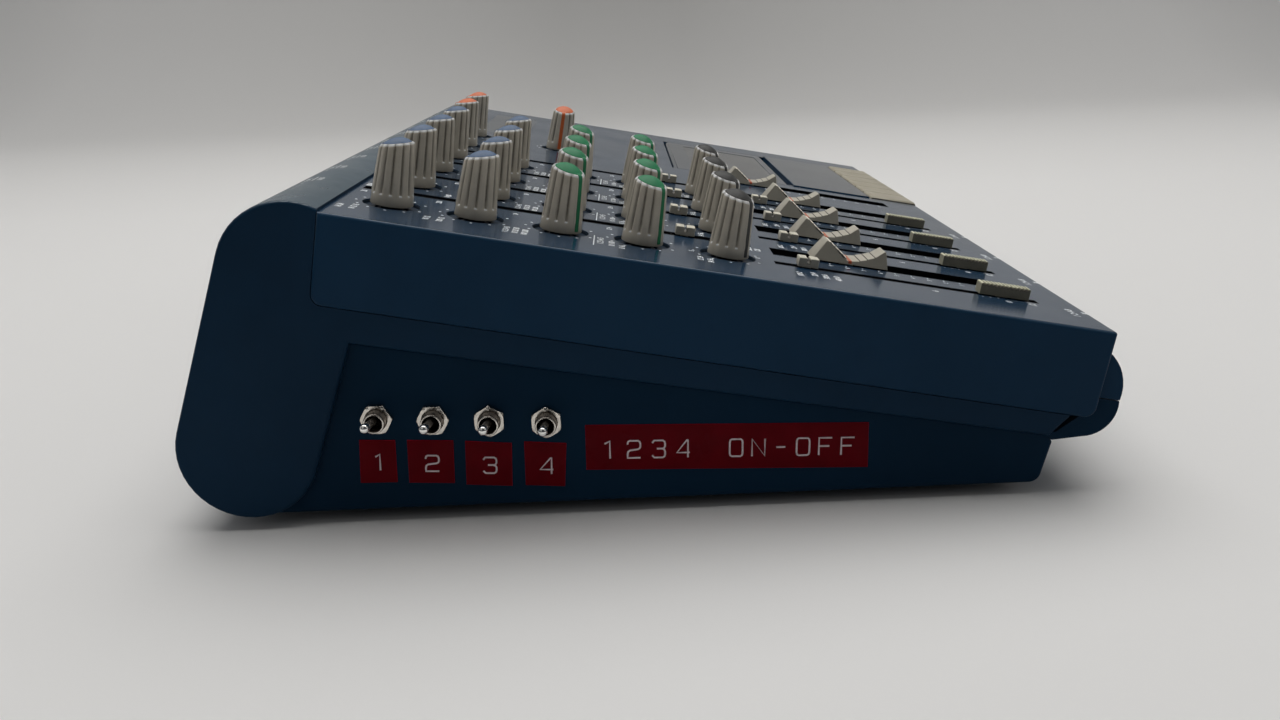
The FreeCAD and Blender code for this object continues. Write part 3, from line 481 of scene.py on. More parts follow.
def newVerts(grown):
    return [v for v in grown if isinstance(v, bmesh.types.BMVert)]


def extruded(profile, width):
    # profile in (y, z), pulled out along x and centred
    bm = bmesh.new()
    face = bm.faces.new([bm.verts.new((-width / 2, y, z)) for y, z in profile])
    grown = bmesh.ops.extrude_face_region(bm, geom=[face])["geom"]
    bmesh.ops.translate(bm, verts=newVerts(grown), vec=(width, 0, 0))
    return bm


def sideRims(bm, above):
    # edges that lie in one of the two flat sides and reach above a height
    return [e for e in bm.edges if e.verts[0].co.x * e.verts[1].co.x > 0
            and max(v.co.z for v in e.verts) > above]


def stacked(rings, segments, reachAt=None, closeLow=True, closeHigh=True, bm=None):
    # rings of (height, radius, share); reachAt(angle, height, radius, share) may wave the radius
    bm = bm or bmesh.new()
    loop = bmesh.ops.create_circle(bm, cap_ends=False, radius=1, segments=segments)["verts"]
    lowest = list(loop)
    for index, (height, radius, share) in enumerate(rings):
        if index:
            inLoop = set(loop)
            edges = [e for e in {e for v in loop for e in v.link_edges} if all(v in inLoop for v in e.verts)]
            grown = bmesh.ops.extrude_edge_only(bm, edges=edges)["geom"]
            loop = newVerts(grown)
        for vert in loop:
            angle = math.atan2(vert.co.y, vert.co.x)
            reach = reachAt(angle, height, radius, share) if reachAt else radius
            vert.co = (reach * math.cos(angle), reach * math.sin(angle), height)
    for wanted, verts in ((closeLow, lowest), (closeHigh, loop)):
        if wanted:
            ordered = sorted(verts, key=lambda v: math.atan2(v.co.y, v.co.x))
            bm.faces.new(ordered)
    return bm


def paintWearAndLight(bm, wearAndLightAt):
    # below zero is grime and painted shade, above zero is a rubbed edge and painted highlight
    layer = bm.verts.layers.float.new("wear")
    for vert in bm.verts:
        vert[layer] = wearAndLightAt(vert.co)


def joined(target, source, place=None):
    mesh = bpy.data.meshes.new("passing")
    source.to_mesh(mesh)
    if place is not None:
        mesh.transform(place)
    target.from_mesh(mesh)
    bpy.data.meshes.remove(mesh)


# in square metres
planeArea = 0.0025


def flattenPlanes(mesh):
    # wide plane faces keep their own normal, so that the rounded rims don't shade into them
    def facing(face):
        return tuple(round(part, 3) for part in face.normal)

    areas = {}
    for face in mesh.polygons:
        areas[facing(face)] = areas.get(facing(face), 0.0) + face.area
    for face in mesh.polygons:
        if areas[facing(face)] > planeArea:
            face.use_smooth = False


def nodeCopy(node, name, looks, body, sharp=30, keep=None):
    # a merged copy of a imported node, so that its rounded faces shade smoothly
    bm = bmesh.new()
    bm.from_mesh(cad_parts[node].data)
    bmesh.ops.remove_doubles(bm, verts=bm.verts, dist=0.000002)
    if keep:
        keep(bm)
    mesh = bpy.data.meshes.new(name)
    bm.to_mesh(mesh)
    bm.free()
    piece = showMesh(mesh, name, looks, body, sharp, (node,))
    flattenPlanes(mesh)
    even = piece.modifiers.new("evenShading", "WEIGHTED_NORMAL")
    even.keep_sharp = True
    return piece


# Shells, chassis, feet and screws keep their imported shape
def islands(bm):
    left = set(bm.verts)
    groups = []
    while left:
        group = {left.pop()}
        edge = list(group)
        while edge:
            vert = edge.pop()
            for link in vert.link_edges:
                other = link.other_vert(vert)
                if other in left:
                    left.discard(other)
                    group.add(other)
                    edge.append(other)
        groups.append(group)
    return sorted(groups, key=len)


def widestIsland(bm):
    return max(islands(bm), key=lambda g: max(v.co.x for v in g) - min(v.co.x for v in g))


def topGlossy(bm):
    # faces that look out of the deck take the second finish
    out = Vector((0, -math.sin(math.radians(caseSpots["deckSlope"])),
                  math.cos(math.radians(caseSpots["deckSlope"]))))
    for face in bm.faces:
        if face.normal.dot(out) > 0.9:
            face.material_index = 1


def baseFinishes(bm):
    # the curved roll is glossier and takes more painted sheen; the recessed lower walls are darker, painted
    # shade from the overhang above them
    roll = caseSpots["deckY"] - caseSpots["rollTop"][0]
    centre = caseSpots["leftX"] + caseSpots["width"] / 2
    inset = caseSpots["width"] / 2 - caseSpots["sideInset"]
    for face in bm.faces:
        middle = face.calc_center_median() / mm
        if abs(face.normal.x) < 0.5 and face.normal.z > 0.2 and middle.y > roll - 26 and middle.z > 40:
            face.material_index = 1
        elif abs(face.normal.x) > 0.5 and abs(abs(middle.x - centre) - inset) < 0.4:
            face.material_index = 2


def trayDark(bm):
    # the tray is moulded, the heads and the capstan in it are steel
    tray = widestIsland(bm)
    for face in bm.faces:
        if face.verts[0] in tray:
            face.material_index = 1


def dressShells():
    nodeCopy("deck_cover", "deckCover", ["skirtBlue", "deckBlue"], "case", keep=topGlossy)
    nodeCopy("base_case", "baseCase", ["caseBlue", "rollBlue", "lowerShadeBlue"], "case", keep=baseFinishes)
    nodeCopy("tape_chassis", "tapeChassis", ["steel", "trayGrey"], "case", keep=trayDark)
    nodeCopy("rubber_feet", "rubberFeet", ["rubber"], "case")
    nodeCopy("case_screws", "caseScrews", ["blackSteel"], "case")
    nodeCopy("circuit_boards", "circuitBoards", ["blackPlastic"], "case")
    for name in ("supply", "takeup"):
        nodeCopy(name + "_spindle", name + "Spindle", ["blackPlastic"], name + "_spindle")


dressShells()
print("shells dressed")


# Knobs
knobLook = {
    "baseRadius": 6.05,
    "topRadius": 4.8,
    "height": 17.4,
    "slant": 12.0,
    "lift": 0.1,
    "flutes": 11,
    "freeAngle": 72.0,
    "coreHalf": 4.3,
    "coreDepth": 0.36,
    "flankHalf": 10.0,
    "flankDepth": 0.26,
    "fluteStart": 3.2,
    "pointerWidth": 1.45,
    "capRadius": 3.88,
    "dome": 1.5,
    "segments": 300,
    "channelSide": 27.2,
    "pitch": 40.0,
}
knobRows = {
    "treble_knob": (14.4, 0.0, "capBlue"),
    "bass_knob": (38.1, 0.0, "capBlue"),
    "effect_one_knob": (62.5, 140.0, "capGreen"),
    "effect_two_knob": (86.0, 140.0, "capGreen"),
    "pan_knob": (111.0, 140.0, "capDark"),
}
masterKnobs = {
    "monitor_knob": (189.0, 13.0, 0.0, "capOrange"),
    "phones_knob": (230.0, 12.5, 0.0, "capOrange"),
    "pitch_knob": (224.0, 52.0, 90.0, "capOrange"),
}


def knobPlaces():
    places = []
    for row, (along, turn, look) in knobRows.items():
        for channel in range(4):
            side = knobLook["channelSide"] + channel * knobLook["pitch"]
            places.append((row + "_" + str(channel + 1), side, along, turn, look))
    for name, (side, along, turn, look) in masterKnobs.items():
        places.append((name, side, along, turn, look))
    return places


def knobBody():
    look = knobLook
    slope = (look["baseRadius"] - look["topRadius"]) / look["height"]
    step = (360 - look["freeAngle"]) / (look["flutes"] - 1)
    centres = [90 + look["freeAngle"] / 2 + index * step for index in range(look["flutes"])]

    def fromFlute(angle):
        return min(abs((math.degrees(angle) - centre + 180) % 360 - 180) for centre in centres)

    def reachAt(angle, height, radius, share):
        away = fromFlute(angle)
        dip = look["flankDepth"] * max(0.0, 1 - away / look["flankHalf"])
        if away < look["coreHalf"]:
            dip += look["coreDepth"] * math.cos(math.pi / 2 * away / look["coreHalf"]) ** 0.8
        fromPointer = abs((math.degrees(angle) - 90 + 180) % 360 - 180) * math.pi / 180 * radius
        rail = 0.1 if 0.72 < fromPointer < 1.35 and share > 0.001 else 0.0
        return radius - dip * share + rail

    start = look["fluteStart"]
    top = look["height"]
    plan = [(0.0, 0.3, 0.0), (0.08, 0.1, 0.0), (0.3, 0.0, 0.0), (start - 0.5, 0.0, 0.0),
            (start - 0.05, 0.0, 0.05),
            (start + 0.12, 0.0, 0.85), (start + 0.5, 0.0, 1.0), (6.0, 0.0, 1.0), (10.0, 0.0, 1.0),
            (14.0, 0.0, 1.0),
            (top - 1.2, 0.0, 1.0), (top - 0.8, 0.05, 1.0), (top - 0.45, 0.17, 0.9), (top - 0.2, 0.34, 0.7),
            (top, 0.58, 0.4), (top - 0.02, 0.74, 0.15), (top - 0.2, 0.84, 0.05), (top - 0.6, 0.9, 0.0)]
    rings = [(h, look["baseRadius"] - slope * h - inset, share) for h, inset, share in plan]
    bm = stacked(rings, look["segments"], reachAt, closeLow=False)

    # painted light and shade with some wear: the top rim is paler, partly rubbed and partly a painted
    # highlight; the ledge at the foot of each flute is a painted highlight; the flutes darken with grime and
    # painted shade
    def wearAndLightAt(co):
        away = fromFlute(math.atan2(co.y, co.x))
        if co.z < start - 0.3 or co.xy.length < look["capRadius"]:
            return 0.0
        if co.z > top - 0.7:
            return 1.0
        if co.z < start + 0.2:
            return 1.0 if away < look["coreHalf"] else 0.0
        return -0.72 * max(0.0, 1 - away / 7.5) * min(1.0, (co.z - start) / 0.9)

    paintWearAndLight(bm, wearAndLightAt)
    slantTop(bm)
    # the hollow underside runs up to the shaft bore
    stacked([(0.0, look["baseRadius"] - 0.3, 0), (0.0, 4.9, 0), (2.1, 4.9, 0), (2.1, 3.06, 0),
             (12.9, 3.06, 0)],
            look["segments"], bm=bm, closeLow=False)
    return bm


def slantTop(bm):
    # the upper part leans down towards the pointer, as far as it stands from the axis
    look = knobLook
    slope = math.tan(math.radians(look["slant"]))
    for vert in bm.verts:
        share = min(1.0, max(0.0, (vert.co.z - 9.0) / (look["height"] - 1.5 - 9.0)))
        vert.co.z -= vert.co.y * slope * share


def knobCap():
    look = knobLook
    top = look["height"]
    r = look["capRadius"]
    ball = (r ** 2 + look["dome"] ** 2) / (2 * look["dome"])
    rings = [(top - 0.6, r, 0), (top - 0.06, r, 0)]
    for share in (0.985, 0.95, 0.88, 0.78, 0.65, 0.5, 0.35, 0.2, 0.07):
        rings.append((top + look["dome"] - ball + math.sqrt(ball ** 2 - (r * share) ** 2), r * share, 0))
    bm = stacked(rings, 72)
    lean = look["topRadius"] - look["baseRadius"]

    def sideAt(height, out):
        return look["baseRadius"] + lean * height / top + out

    profile = [(sideAt(0.7, -0.4), 0.7), (sideAt(0.7, 0.08), 0.7), (sideAt(4.0, 0.1), 4.0),
               (sideAt(9.0, 0.1), 9.0),
               (sideAt(top - 1.0, 0.1), top - 1.0), (sideAt(top, 0.0), top - 0.25),
               (sideAt(top, -0.35), top + 0.08),
               (r - 0.3, top + 0.22), (r - 1.2, top - 0.3), (sideAt(top, -0.9), top - 0.6),
               (sideAt(8.0, -0.6), 8.0)]
    stripe = extruded(profile, look["pointerWidth"])
    roundEdges(stripe, [e for e in stripe.edges if abs(e.verts[0].co.x - e.verts[1].co.x) < 0.01], 0.1, 1)
    joined(bm, stripe)
    stripe.free()
    slantTop(bm)
    return bm


def addKnobs():
    bodyPattern = knobBody()
    capPattern = knobCap()
    for name, side, along, turn, look in knobPlaces():
        place = (deckPlace @ Matrix.Translation((side, -along, knobLook["lift"]))
                 @ Matrix.Rotation(math.radians(turn), 4, "Z"))
        words = name.split("_")
        short = words[0] + "".join(word.capitalize() for word in words[1:])
        finishPiece(bodyPattern.copy(), short + "Body", place, ["knobGrey"], name, 42, (name,))
        finishPiece(capPattern.copy(), short + "Cap", place, [look], name, 38)
    bodyPattern.free()
    capPattern.free()


addKnobs()
print("knobs turned")


# Faders, trims and slide switches
capLook = {
    "width": 10.0,
    "topWidth": 7.4,
    "length": 23.4,
    "peak": 6.0,
    "saddle": 1.0,
    "lift": 0.4,
    "lineWidth": 1.05,
    "edge": 0.2,
    "treads": [(-7.1, 5.75), (-5.75, 4.8), (-4.4, 3.83), (-3.1, 2.87), (-1.9, 1.95)],
    "facets": [2.9, 5.1, 7.3],
}
faderPlaces = [(45.0, 149.4), (85.0, 149.4), (125.0, 149.4), (165.0, 149.4), (205.0, 137.0)]


def capHalf(height):
    # the long sides lean inwards
    return (capLook["width"] - (capLook["width"] - capLook["topWidth"]) * height / capLook["peak"]) / 2


def faderCap():
    # from the rear end to the front end: y is minus the way along
    half = capLook["length"] / 2
    line = [(-half + 0.2, 0.0), (-half + 3.55, 5.55), (-half + 3.75, 5.85), (-half + 4.1, capLook["peak"]),
            (-half + 4.3, 5.95), (-half + 4.42, 5.76)]
    for at, out in capLook["treads"]:
        line += [(at - 0.06, out - 0.03), (at + 0.6, out - 0.04), (at + 0.74, out - 0.14),
                 (at + 0.8, out - 0.85)]
    line += [(-0.78, 1.1), (-0.58, capLook["saddle"]), (0.58, capLook["saddle"]), (0.75, 1.06)]
    for at, out in zip(capLook["facets"], (1.32, 2.05, 2.95)):
        line += [(at - 0.14, out), (at, out - 0.02), (at + 0.06, out + 0.2), (at + 0.24, out + 0.24)]
    line += [(half - 1.9, 5.0), (half - 1.5, 5.12), (half - 1.28, 5.0), (half - 1.1, 4.6), (half - 0.1, 0.3),
             (half, 0.0)]
    bm = extruded([(-along, out) for along, out in line], capLook["width"])
    for vert in bm.verts:
        vert.co.x = math.copysign(capHalf(vert.co.z), vert.co.x)
    roundEdges(bm, sideRims(bm, 0.1), capLook["edge"], 2)

    # painted light and shade: the creases between the front facets and the rear slope are darker, the
    # treads, the rims and the rest paler
    def wearAndLightAt(co):
        if co.z < 0.6:
            return 0.0
        if any(abs(-co.y - at - 0.03) < 0.07 for at in capLook["facets"]):
            return -1.0
        if capHalf(co.z) - abs(co.x) < 0.12:
            return 0.35
        if any(-0.1 < -co.y - at < 0.77 and abs(co.z - out) < 0.3 for at, out in capLook["treads"]):
            return 1.0
        return -0.35 if -7.2 < -co.y < -0.8 else 0.3

    paintWearAndLight(bm, wearAndLightAt)
    plainSides(bm)
    blockOf(bm, (-0.7, 0.7), (-2.0, 2.0), (-9.3, 0.2))
    return bm


def plainSides(bm):
    # the flat sides are set in a little, so that the painted highlight and wear on their rims stays there
    sides = [f for f in bm.faces if abs(f.normal.x) > 0.9 and f.calc_area() > 6]
    bmesh.ops.inset_individual(bm, faces=sides, thickness=0.12)
    layer = bm.verts.layers.float["wear"]
    for face in sides:
        for vert in face.verts:
            vert[layer] = 0.0


def faderLine():
    # over the saddle and a little way down the near side
    wide = capLook["lineWidth"] / 2
    top = capLook["saddle"]
    bm = bmesh.new()
    blockOf(bm, (-capHalf(top) - 0.03, capHalf(top) + 0.03), (-wide, wide), (top - 0.75, top + 0.06))
    for vert in bm.verts:
        if vert.co.z < top - 0.5:
            vert.co.x = math.copysign(capHalf(vert.co.z) + 0.03, vert.co.x)
    roundEdges(bm, bm.edges[:], 0.04, 1)
    return bm


sliderLook = {"width": 4.4, "length": 14.8, "height": 3.3, "pitch": 1.15, "side": 27.2, "along": 192.3}


def trimSlider():
    half = sliderLook["length"] / 2
    top = sliderLook["height"]
    pitch = sliderLook["pitch"]
    wide = sliderLook["width"] / 2
    line = [(half, 0.0), (half, top - 0.3), (half - 0.25, top - 0.05), (half - 0.55, top)]
    for index in range(5, -7, -1):
        at = (index + 0.5) * pitch
        line += [(at + 0.36, top), (at + 0.2, top - 0.75), (at - 0.2, top - 0.75), (at - 0.36, top)]
    line += [(-half + 0.55, top), (-half + 0.25, top - 0.05), (-half, top - 0.3), (-half, 0.0)]
    bm = extruded(line, sliderLook["width"])
    roundEdges(bm, sideRims(bm, 0.1), 0.08, 1)

    # painted highlight on the tops of the teeth and the end rims, painted shade down in the grooves
    def wearAndLightAt(co):
        if co.z > top - 0.15:
            return 1.0
        if co.z > top - 0.85 and half - abs(co.y) > 0.3:
            return -1.0
        return 0.4 if half - abs(co.y) < 0.12 and abs(co.x) > wide - 0.1 else 0.0

    paintWearAndLight(bm, wearAndLightAt)
    plainSides(bm)
    blockOf(bm, (-0.6, 0.6), (-1.6, 1.6), (-6.8, 0.2))
    return bm


switchLook = {"length": 5.9, "width": 4.6, "height": 2.6, "side": 27.2, "along": 134.2,
              "assignSide": 49.3, "assignAlong": 99.5}


def lobeSwitch():
    half = switchLook["length"] / 2
    top = switchLook["height"]
    line = [(half, 0.0), (half, top - 0.2), (half - 0.15, top), (0.62, top), (0.42, top - 0.15),
            (0.32, top - 0.7),
            (0.5, top - 0.95), (0.55, top - 1.25), (0.32, top - 1.5), (-0.32, top - 1.5),
            (-0.55, top - 1.25),
            (-0.5, top - 0.95), (-0.32, top - 0.7), (-0.42, top - 0.15), (-0.62, top), (-half + 0.15, top),
            (-half, top - 0.2), (-half, 0.0)]
    bm = extruded(line, switchLook["width"])
    roundEdges(bm, sideRims(bm, 0.5), 0.12, 2)

    # painted shade in the notch between the lobes, painted highlight along their tops
    def wearAndLightAt(co):
        if abs(co.y) < 0.6 and co.z < top - 0.25:
            return -1.0
        return 0.9 if co.z > top - 0.25 else 0.0

    paintWearAndLight(bm, wearAndLightAt)
    plainSides(bm)
    blockOf(bm, (-0.6, 0.6), (-1.2, 1.2), (-6.8, 0.2))
    return bm


def addSlides():
    patterns = {"cap": faderCap(), "line": faderLine(), "slider": trimSlider(), "switch": lobeSwitch()}

    def put(kind, name, look, body, side, along, stands=(), sharp=35):
        place = deckPlace @ Matrix.Translation((side, -along, capLook["lift"]))
        finishPiece(patterns[kind].copy(), name, place, [look], body, sharp, stands)

    for index, (side, along) in enumerate(faderPlaces):
        node = "fader_cap_" + str(index + 1) if index < 4 else "master_fader_cap"
        name = "faderCap" + (str(index + 1) if index < 4 else "Master")
        put("cap", name, "faderIvory", node, side, along, (node,), 30)
        put("line", name + "Line", "lineOrange", node, side, along)
    for channel in range(4):
        number = str(channel + 1)
        shift = channel * knobLook["pitch"]
        side = sliderLook["side"] + shift
        put("slider", "trimSlider" + number, "sliderOlive", "trim_slider_" + number, side,
            sliderLook["along"], ("trim_slider_" + number,))
        put("switch", "sourceSwitch" + number, "faderIvory", "source_switch_" + number,
            switchLook["side"] + shift, switchLook["along"], ("source_switch_" + number,))
        put("switch", "assignSwitch" + number, "faderIvory", "assign_switch_" + number,
            switchLook["assignSide"] + shift, switchLook["assignAlong"], ("assign_switch_" + number,))
    for pattern in patterns.values():
        pattern.free()


addSlides()
print("faders and switches placed")


# Black felt in the slots, painted shade in the grooves and knob recesses
slotLook = {
    "fader": (9.6, 126.0, 193.0),
    "masterShift": 5.5,
    "trim": (2.6, 124.8, 203.0),
    "assign": (2.6, 95.5, 107.5),
    "groove": (3.4, 2.0, 120.0, 1.2),
    "skin": 0.12,
    "rim": 0.95,
    "wideRim": 0.75,
    "gap": 0.02,
    "recessRadius": 8.2,
    "recessDepth": 1.2,
}


def linedSlot(bm, side, width, start, end, deep, slit):
    skin = slotLook["skin"]
    gap = slotLook["gap"]
    left = side - width / 2 + gap
    right = side + width / 2 - gap
    outs = (-deep, -0.03)
    blockOf(bm, (left, left + skin), (start + gap, end - gap), outs)
    blockOf(bm, (right - skin, right), (start + gap, end - gap), outs)
    blockOf(bm, (left, right), (start + gap, start + gap + skin), outs)
    blockOf(bm, (left, right), (end - gap - skin, end - gap), outs)
    if slit:
        blockOf(bm, (left, side - slit), (start + gap, end - gap), (-deep, -deep + skin))
        blockOf(bm, (side + slit, right), (start + gap, end - gap), (-deep, -deep + skin))
    else:
        blockOf(bm, (left, right), (start + gap, end - gap), (-deep, -deep + skin))


def addLinings():
    bm = bmesh.new()
    for index, (side, _) in enumerate(faderPlaces):
        width, start, end = slotLook["fader"]
        shift = slotLook["masterShift"] if index == 4 else 0.0
        linedSlot(bm, side, width, start + shift, end + shift, 3.6, 1.0)
    for channel in range(4):
        shift = channel * knobLook["pitch"]
        linedSlot(bm, sliderLook["side"] + shift, *slotLook["trim"], 3.0, 0.9)
        # the grooves are lined black as well: painted shade
        width, start, end, deep = slotLook["groove"]
        linedSlot(bm, switchLook["assignSide"] + shift, width, start, slotLook["assign"][1], deep - 0.02, 0)
        linedSlot(bm, switchLook["assignSide"] + shift, width, slotLook["assign"][2], end, deep - 0.02, 0)
        linedSlot(bm, switchLook["assignSide"] + shift, width, slotLook["assign"][1], slotLook["assign"][2],
                  deep - 0.02, 1.15)
    finishPiece(bm, "slotFeltAndGrooveShade", deckPlace, ["feltAndShadeBlack"], "case", 30)

    # painted shade: a dark ring lines each knob's recess
    bm = bmesh.new()
    deep = slotLook["recessDepth"]
    for _, side, along, _, _ in knobPlaces():
        ring = stacked([(-deep + 0.01, 4.7, 0), (-deep + 0.01, slotLook["recessRadius"] - 0.05, 0),
                        (-0.25, slotLook["recessRadius"] - 0.03, 0),
                        (-0.25, slotLook["recessRadius"] - 0.2, 0),
                        (-deep + 0.2, slotLook["recessRadius"] - 0.35, 0), (-deep + 0.2, 4.7, 0)], 64,
                       closeLow=False, closeHigh=False)
        joined(bm, ring, Matrix.Translation((side, -along, 0)))
        ring.free()
    finishPiece(bm, "recessShadeRings", deckPlace, ["recessShade"], "case", 40)


addLinings()
print("slots lined")


# Cassette door and keys
def addDoor():
    def onlyLargest(bm):
        lid = widestIsland(bm)
        bmesh.ops.delete(bm, geom=[v for v in bm.verts if v not in lid], context="VERTS")
        topGlossy(bm)
        # the rounded rear rim is as glossy as the top
        for face in bm.faces:
            if face.normal.z > 0.2 and face.calc_center_median().y > -0.043:
                face.material_index = 1

    def onlyPane(bm):
        lid = widestIsland(bm)
        bmesh.ops.delete(bm, geom=list(lid), context="VERTS")

    nodeCopy("cassette_door", "cassetteLid", ["caseBlue", "lidGloss"], "cassette_door", 30, onlyLargest)
    nodeCopy("cassette_door", "lidWindow", ["smoked"], "cassette_door", 30, onlyPane)


def addKeys():
    def sidesShaded(bm):
        for face in bm.faces:
            if abs(face.normal.x) > 0.9:
                face.material_index = 1

    for index in range(6):
        number = str(index + 1)
        nodeCopy("transport_key_" + number, "transportKey" + number, ["keyBeige", "keyShade"],
                 "transport_key_" + number, keep=sidesShaded)


addDoor()
addKeys()
print("door and keys dressed")


# Toggle switches and rear sockets
toggleLook = {
    "places": [(9.1, 27.7), (24.6, 26.8), (40.1, 25.8), (55.8, 24.8)],
    "nutTurn": [30.0, 30.0, 0.0, 0.0],
    "nutFlats": 8.0,
    "nutThick": 1.9,
    "bushRadius": 2.95,
    "bushOut": 5.2,
    "leverLength": 16.59,
    "leverBall": 1.35,
    "tilt": 9.0,
    "thread": 0.5,
    "seatRadius": 1.75,
    "seatIn": 0.4,
}


def hexReach(flats):
    def reachAt(angle, height, radius, share):
        turned = (math.degrees(angle) + 30) % 60 - 30
        return min(flats / 2 / math.cos(math.radians(turned)), radius) if share else radius
    return reachAt


def hexNut(flats, thick, bore):
    corner = flats / 2 / math.cos(math.radians(30))
    rings = [(0.0, bore, 0), (0.0, corner - 0.1, 1), (0.1, corner, 1), (thick - 0.3, corner, 1),
             (thick - 0.12, corner - 0.22, 1), (thick, corner - 0.44, 1), (thick, bore + 0.22, 0),
             (thick - 0.2, bore, 0)]
    bm = stacked(rings, 96, hexReach(flats), closeLow=False, closeHigh=False)
    # the bore closes the ring
    lows = sorted([v for v in bm.verts if abs(v.co.z) < 1e-6 and abs(v.co.xy.length - bore) < 1e-4],
                  key=lambda v: math.atan2(v.co.y, v.co.x))
    highs = sorted([v for v in bm.verts if abs(v.co.z - thick + 0.2) < 1e-6
                    and abs(v.co.xy.length - bore) < 1e-4],
                   key=lambda v: math.atan2(v.co.y, v.co.x))
    for ring in (lows, highs):
        for index, vert in enumerate(ring):
            other = ring[(index + 1) % len(ring)]
            if bm.edges.get((vert, other)) is None:
                bm.edges.new((vert, other))
    edges = [bm.edges.get((r[i], r[(i + 1) % len(r)])) for r in (lows, highs) for i in range(len(r))]
    bmesh.ops.bridge_loops(bm, edges=edges)
    return bm


def threadedBush(radius, out, thread, throat, seat):
    rings = [(-3.0, radius, 0)]
    height = 0.1
    while height < out - 0.75:
        rings += [(height, radius, 0), (height + thread * 0.36, radius - 0.22, 0),
                  (height + thread * 0.5, radius - 0.22, 0),
                  (height + thread * 0.86, radius, 0)]
        height += thread
    rings += [(out - 0.3, radius - 0.02, 0), (out - 0.1, radius - 0.12, 0), (out, radius - 0.26, 0),
              (out, throat + 0.12, 0), (out - 0.12, throat, 0), (0.3, throat - 0.75, 0)]
    # a round seat leaves room for the ball at the lever's root
    for degrees in (20, 0, -20, -40, -60, -78):
        a = math.radians(degrees)
        rings.append((seat * math.sin(a) - toggleLook["seatIn"], seat * math.cos(a), 0))
    bm = stacked(rings, 64)
    # the barrel is darker than the end face: painted shade on the thread and in the throat
    for face in bm.faces:
        if face.calc_center_median().z > out - 0.06:
            face.material_index = 1
    return bm


def batLever():
    look = toggleLook
    tip = look["leverLength"]
    ball = look["leverBall"]
    rings = [(-1.2, 0.3, 0), (-0.8, 0.95, 0), (0.0, 1.22, 0), (0.7, 1.02, 0), (1.2, 0.88, 0), (5.0, 0.93, 0),
             (10.0, 1.03, 0), (tip - 3.2, 1.12, 0), (tip - 2.2, 1.22, 0)]
    for index in range(0, 13):
        a = math.radians(-30 + 10 * index)
        rings.append((tip - ball + ball * math.sin(a), max(0.08, ball * math.cos(a)), 0))
    bm = stacked(rings, 48)
    for face in bm.faces:
        if face.calc_center_median().z < tip - 3.0:
            face.material_index = 1
    return bm


def addToggles():
    look = toggleLook
    nuts = bmesh.new()
    bushes = bmesh.new()
    boxes = bmesh.new()
    nut = hexNut(look["nutFlats"], look["nutThick"], look["bushRadius"] + 0.01)
    bush = threadedBush(look["bushRadius"], look["bushOut"], look["thread"], 2.35, look["seatRadius"])
    for (ahead, height), turn in zip(look["places"], look["nutTurn"]):
        at = Matrix.Translation((ahead, height, 0))
        joined(nuts, nut, at @ Matrix.Rotation(math.radians(turn), 4, "Z"))
        joined(bushes, bush, at)
        made = bmesh.new()
        blockOf(made, (-3.5, 3.5), (-6, 6), (-12.5, -2.55))
        roundEdges(made, made.edges[:], 0.3, 1)
        joined(boxes, made, at)
        made.free()
    nut.free()
    bush.free()
    finishPiece(nuts, "toggleNuts", wallPlace, ["nickel"], "case", 32, ("panel_hardware",))
    finishPiece(bushes, "toggleBushes", wallPlace, ["darkNickel", "nickel"], "case", 40)
    finishPiece(boxes, "toggleBoxes", wallPlace, ["blackPlastic"], "case")
    lever = batLever()
    for index, (ahead, height) in enumerate(look["places"]):
        lean = Matrix.Rotation(math.radians(-look["tilt"]), 4, "X")
        place = wallPlace @ Matrix.Translation((ahead, height, 0)) @ lean
        node = "toggle_lever_" + str(index + 1)
        finishPiece(lever.copy(), "toggleLever" + str(index + 1), place, ["bright", "darkNickel"], node, 50,
                    (node,))
    lever.free()


socketLook = {
    "jackSides": [44.0 + 29.0 * n for n in range(8)],
    "jackBore": 3.25,
    "jackBush": 5.5,
    "jackNutFlats": 14.0,
    "phonoSides": [282.0, 300.0, 318.0],
    "phonoRows": [-8.5, 8.5],
    "phonoRadius": 4.15,
    "pocket": 3.0,
    "inner": 5.5,
    "inletSide": 340.0,
}


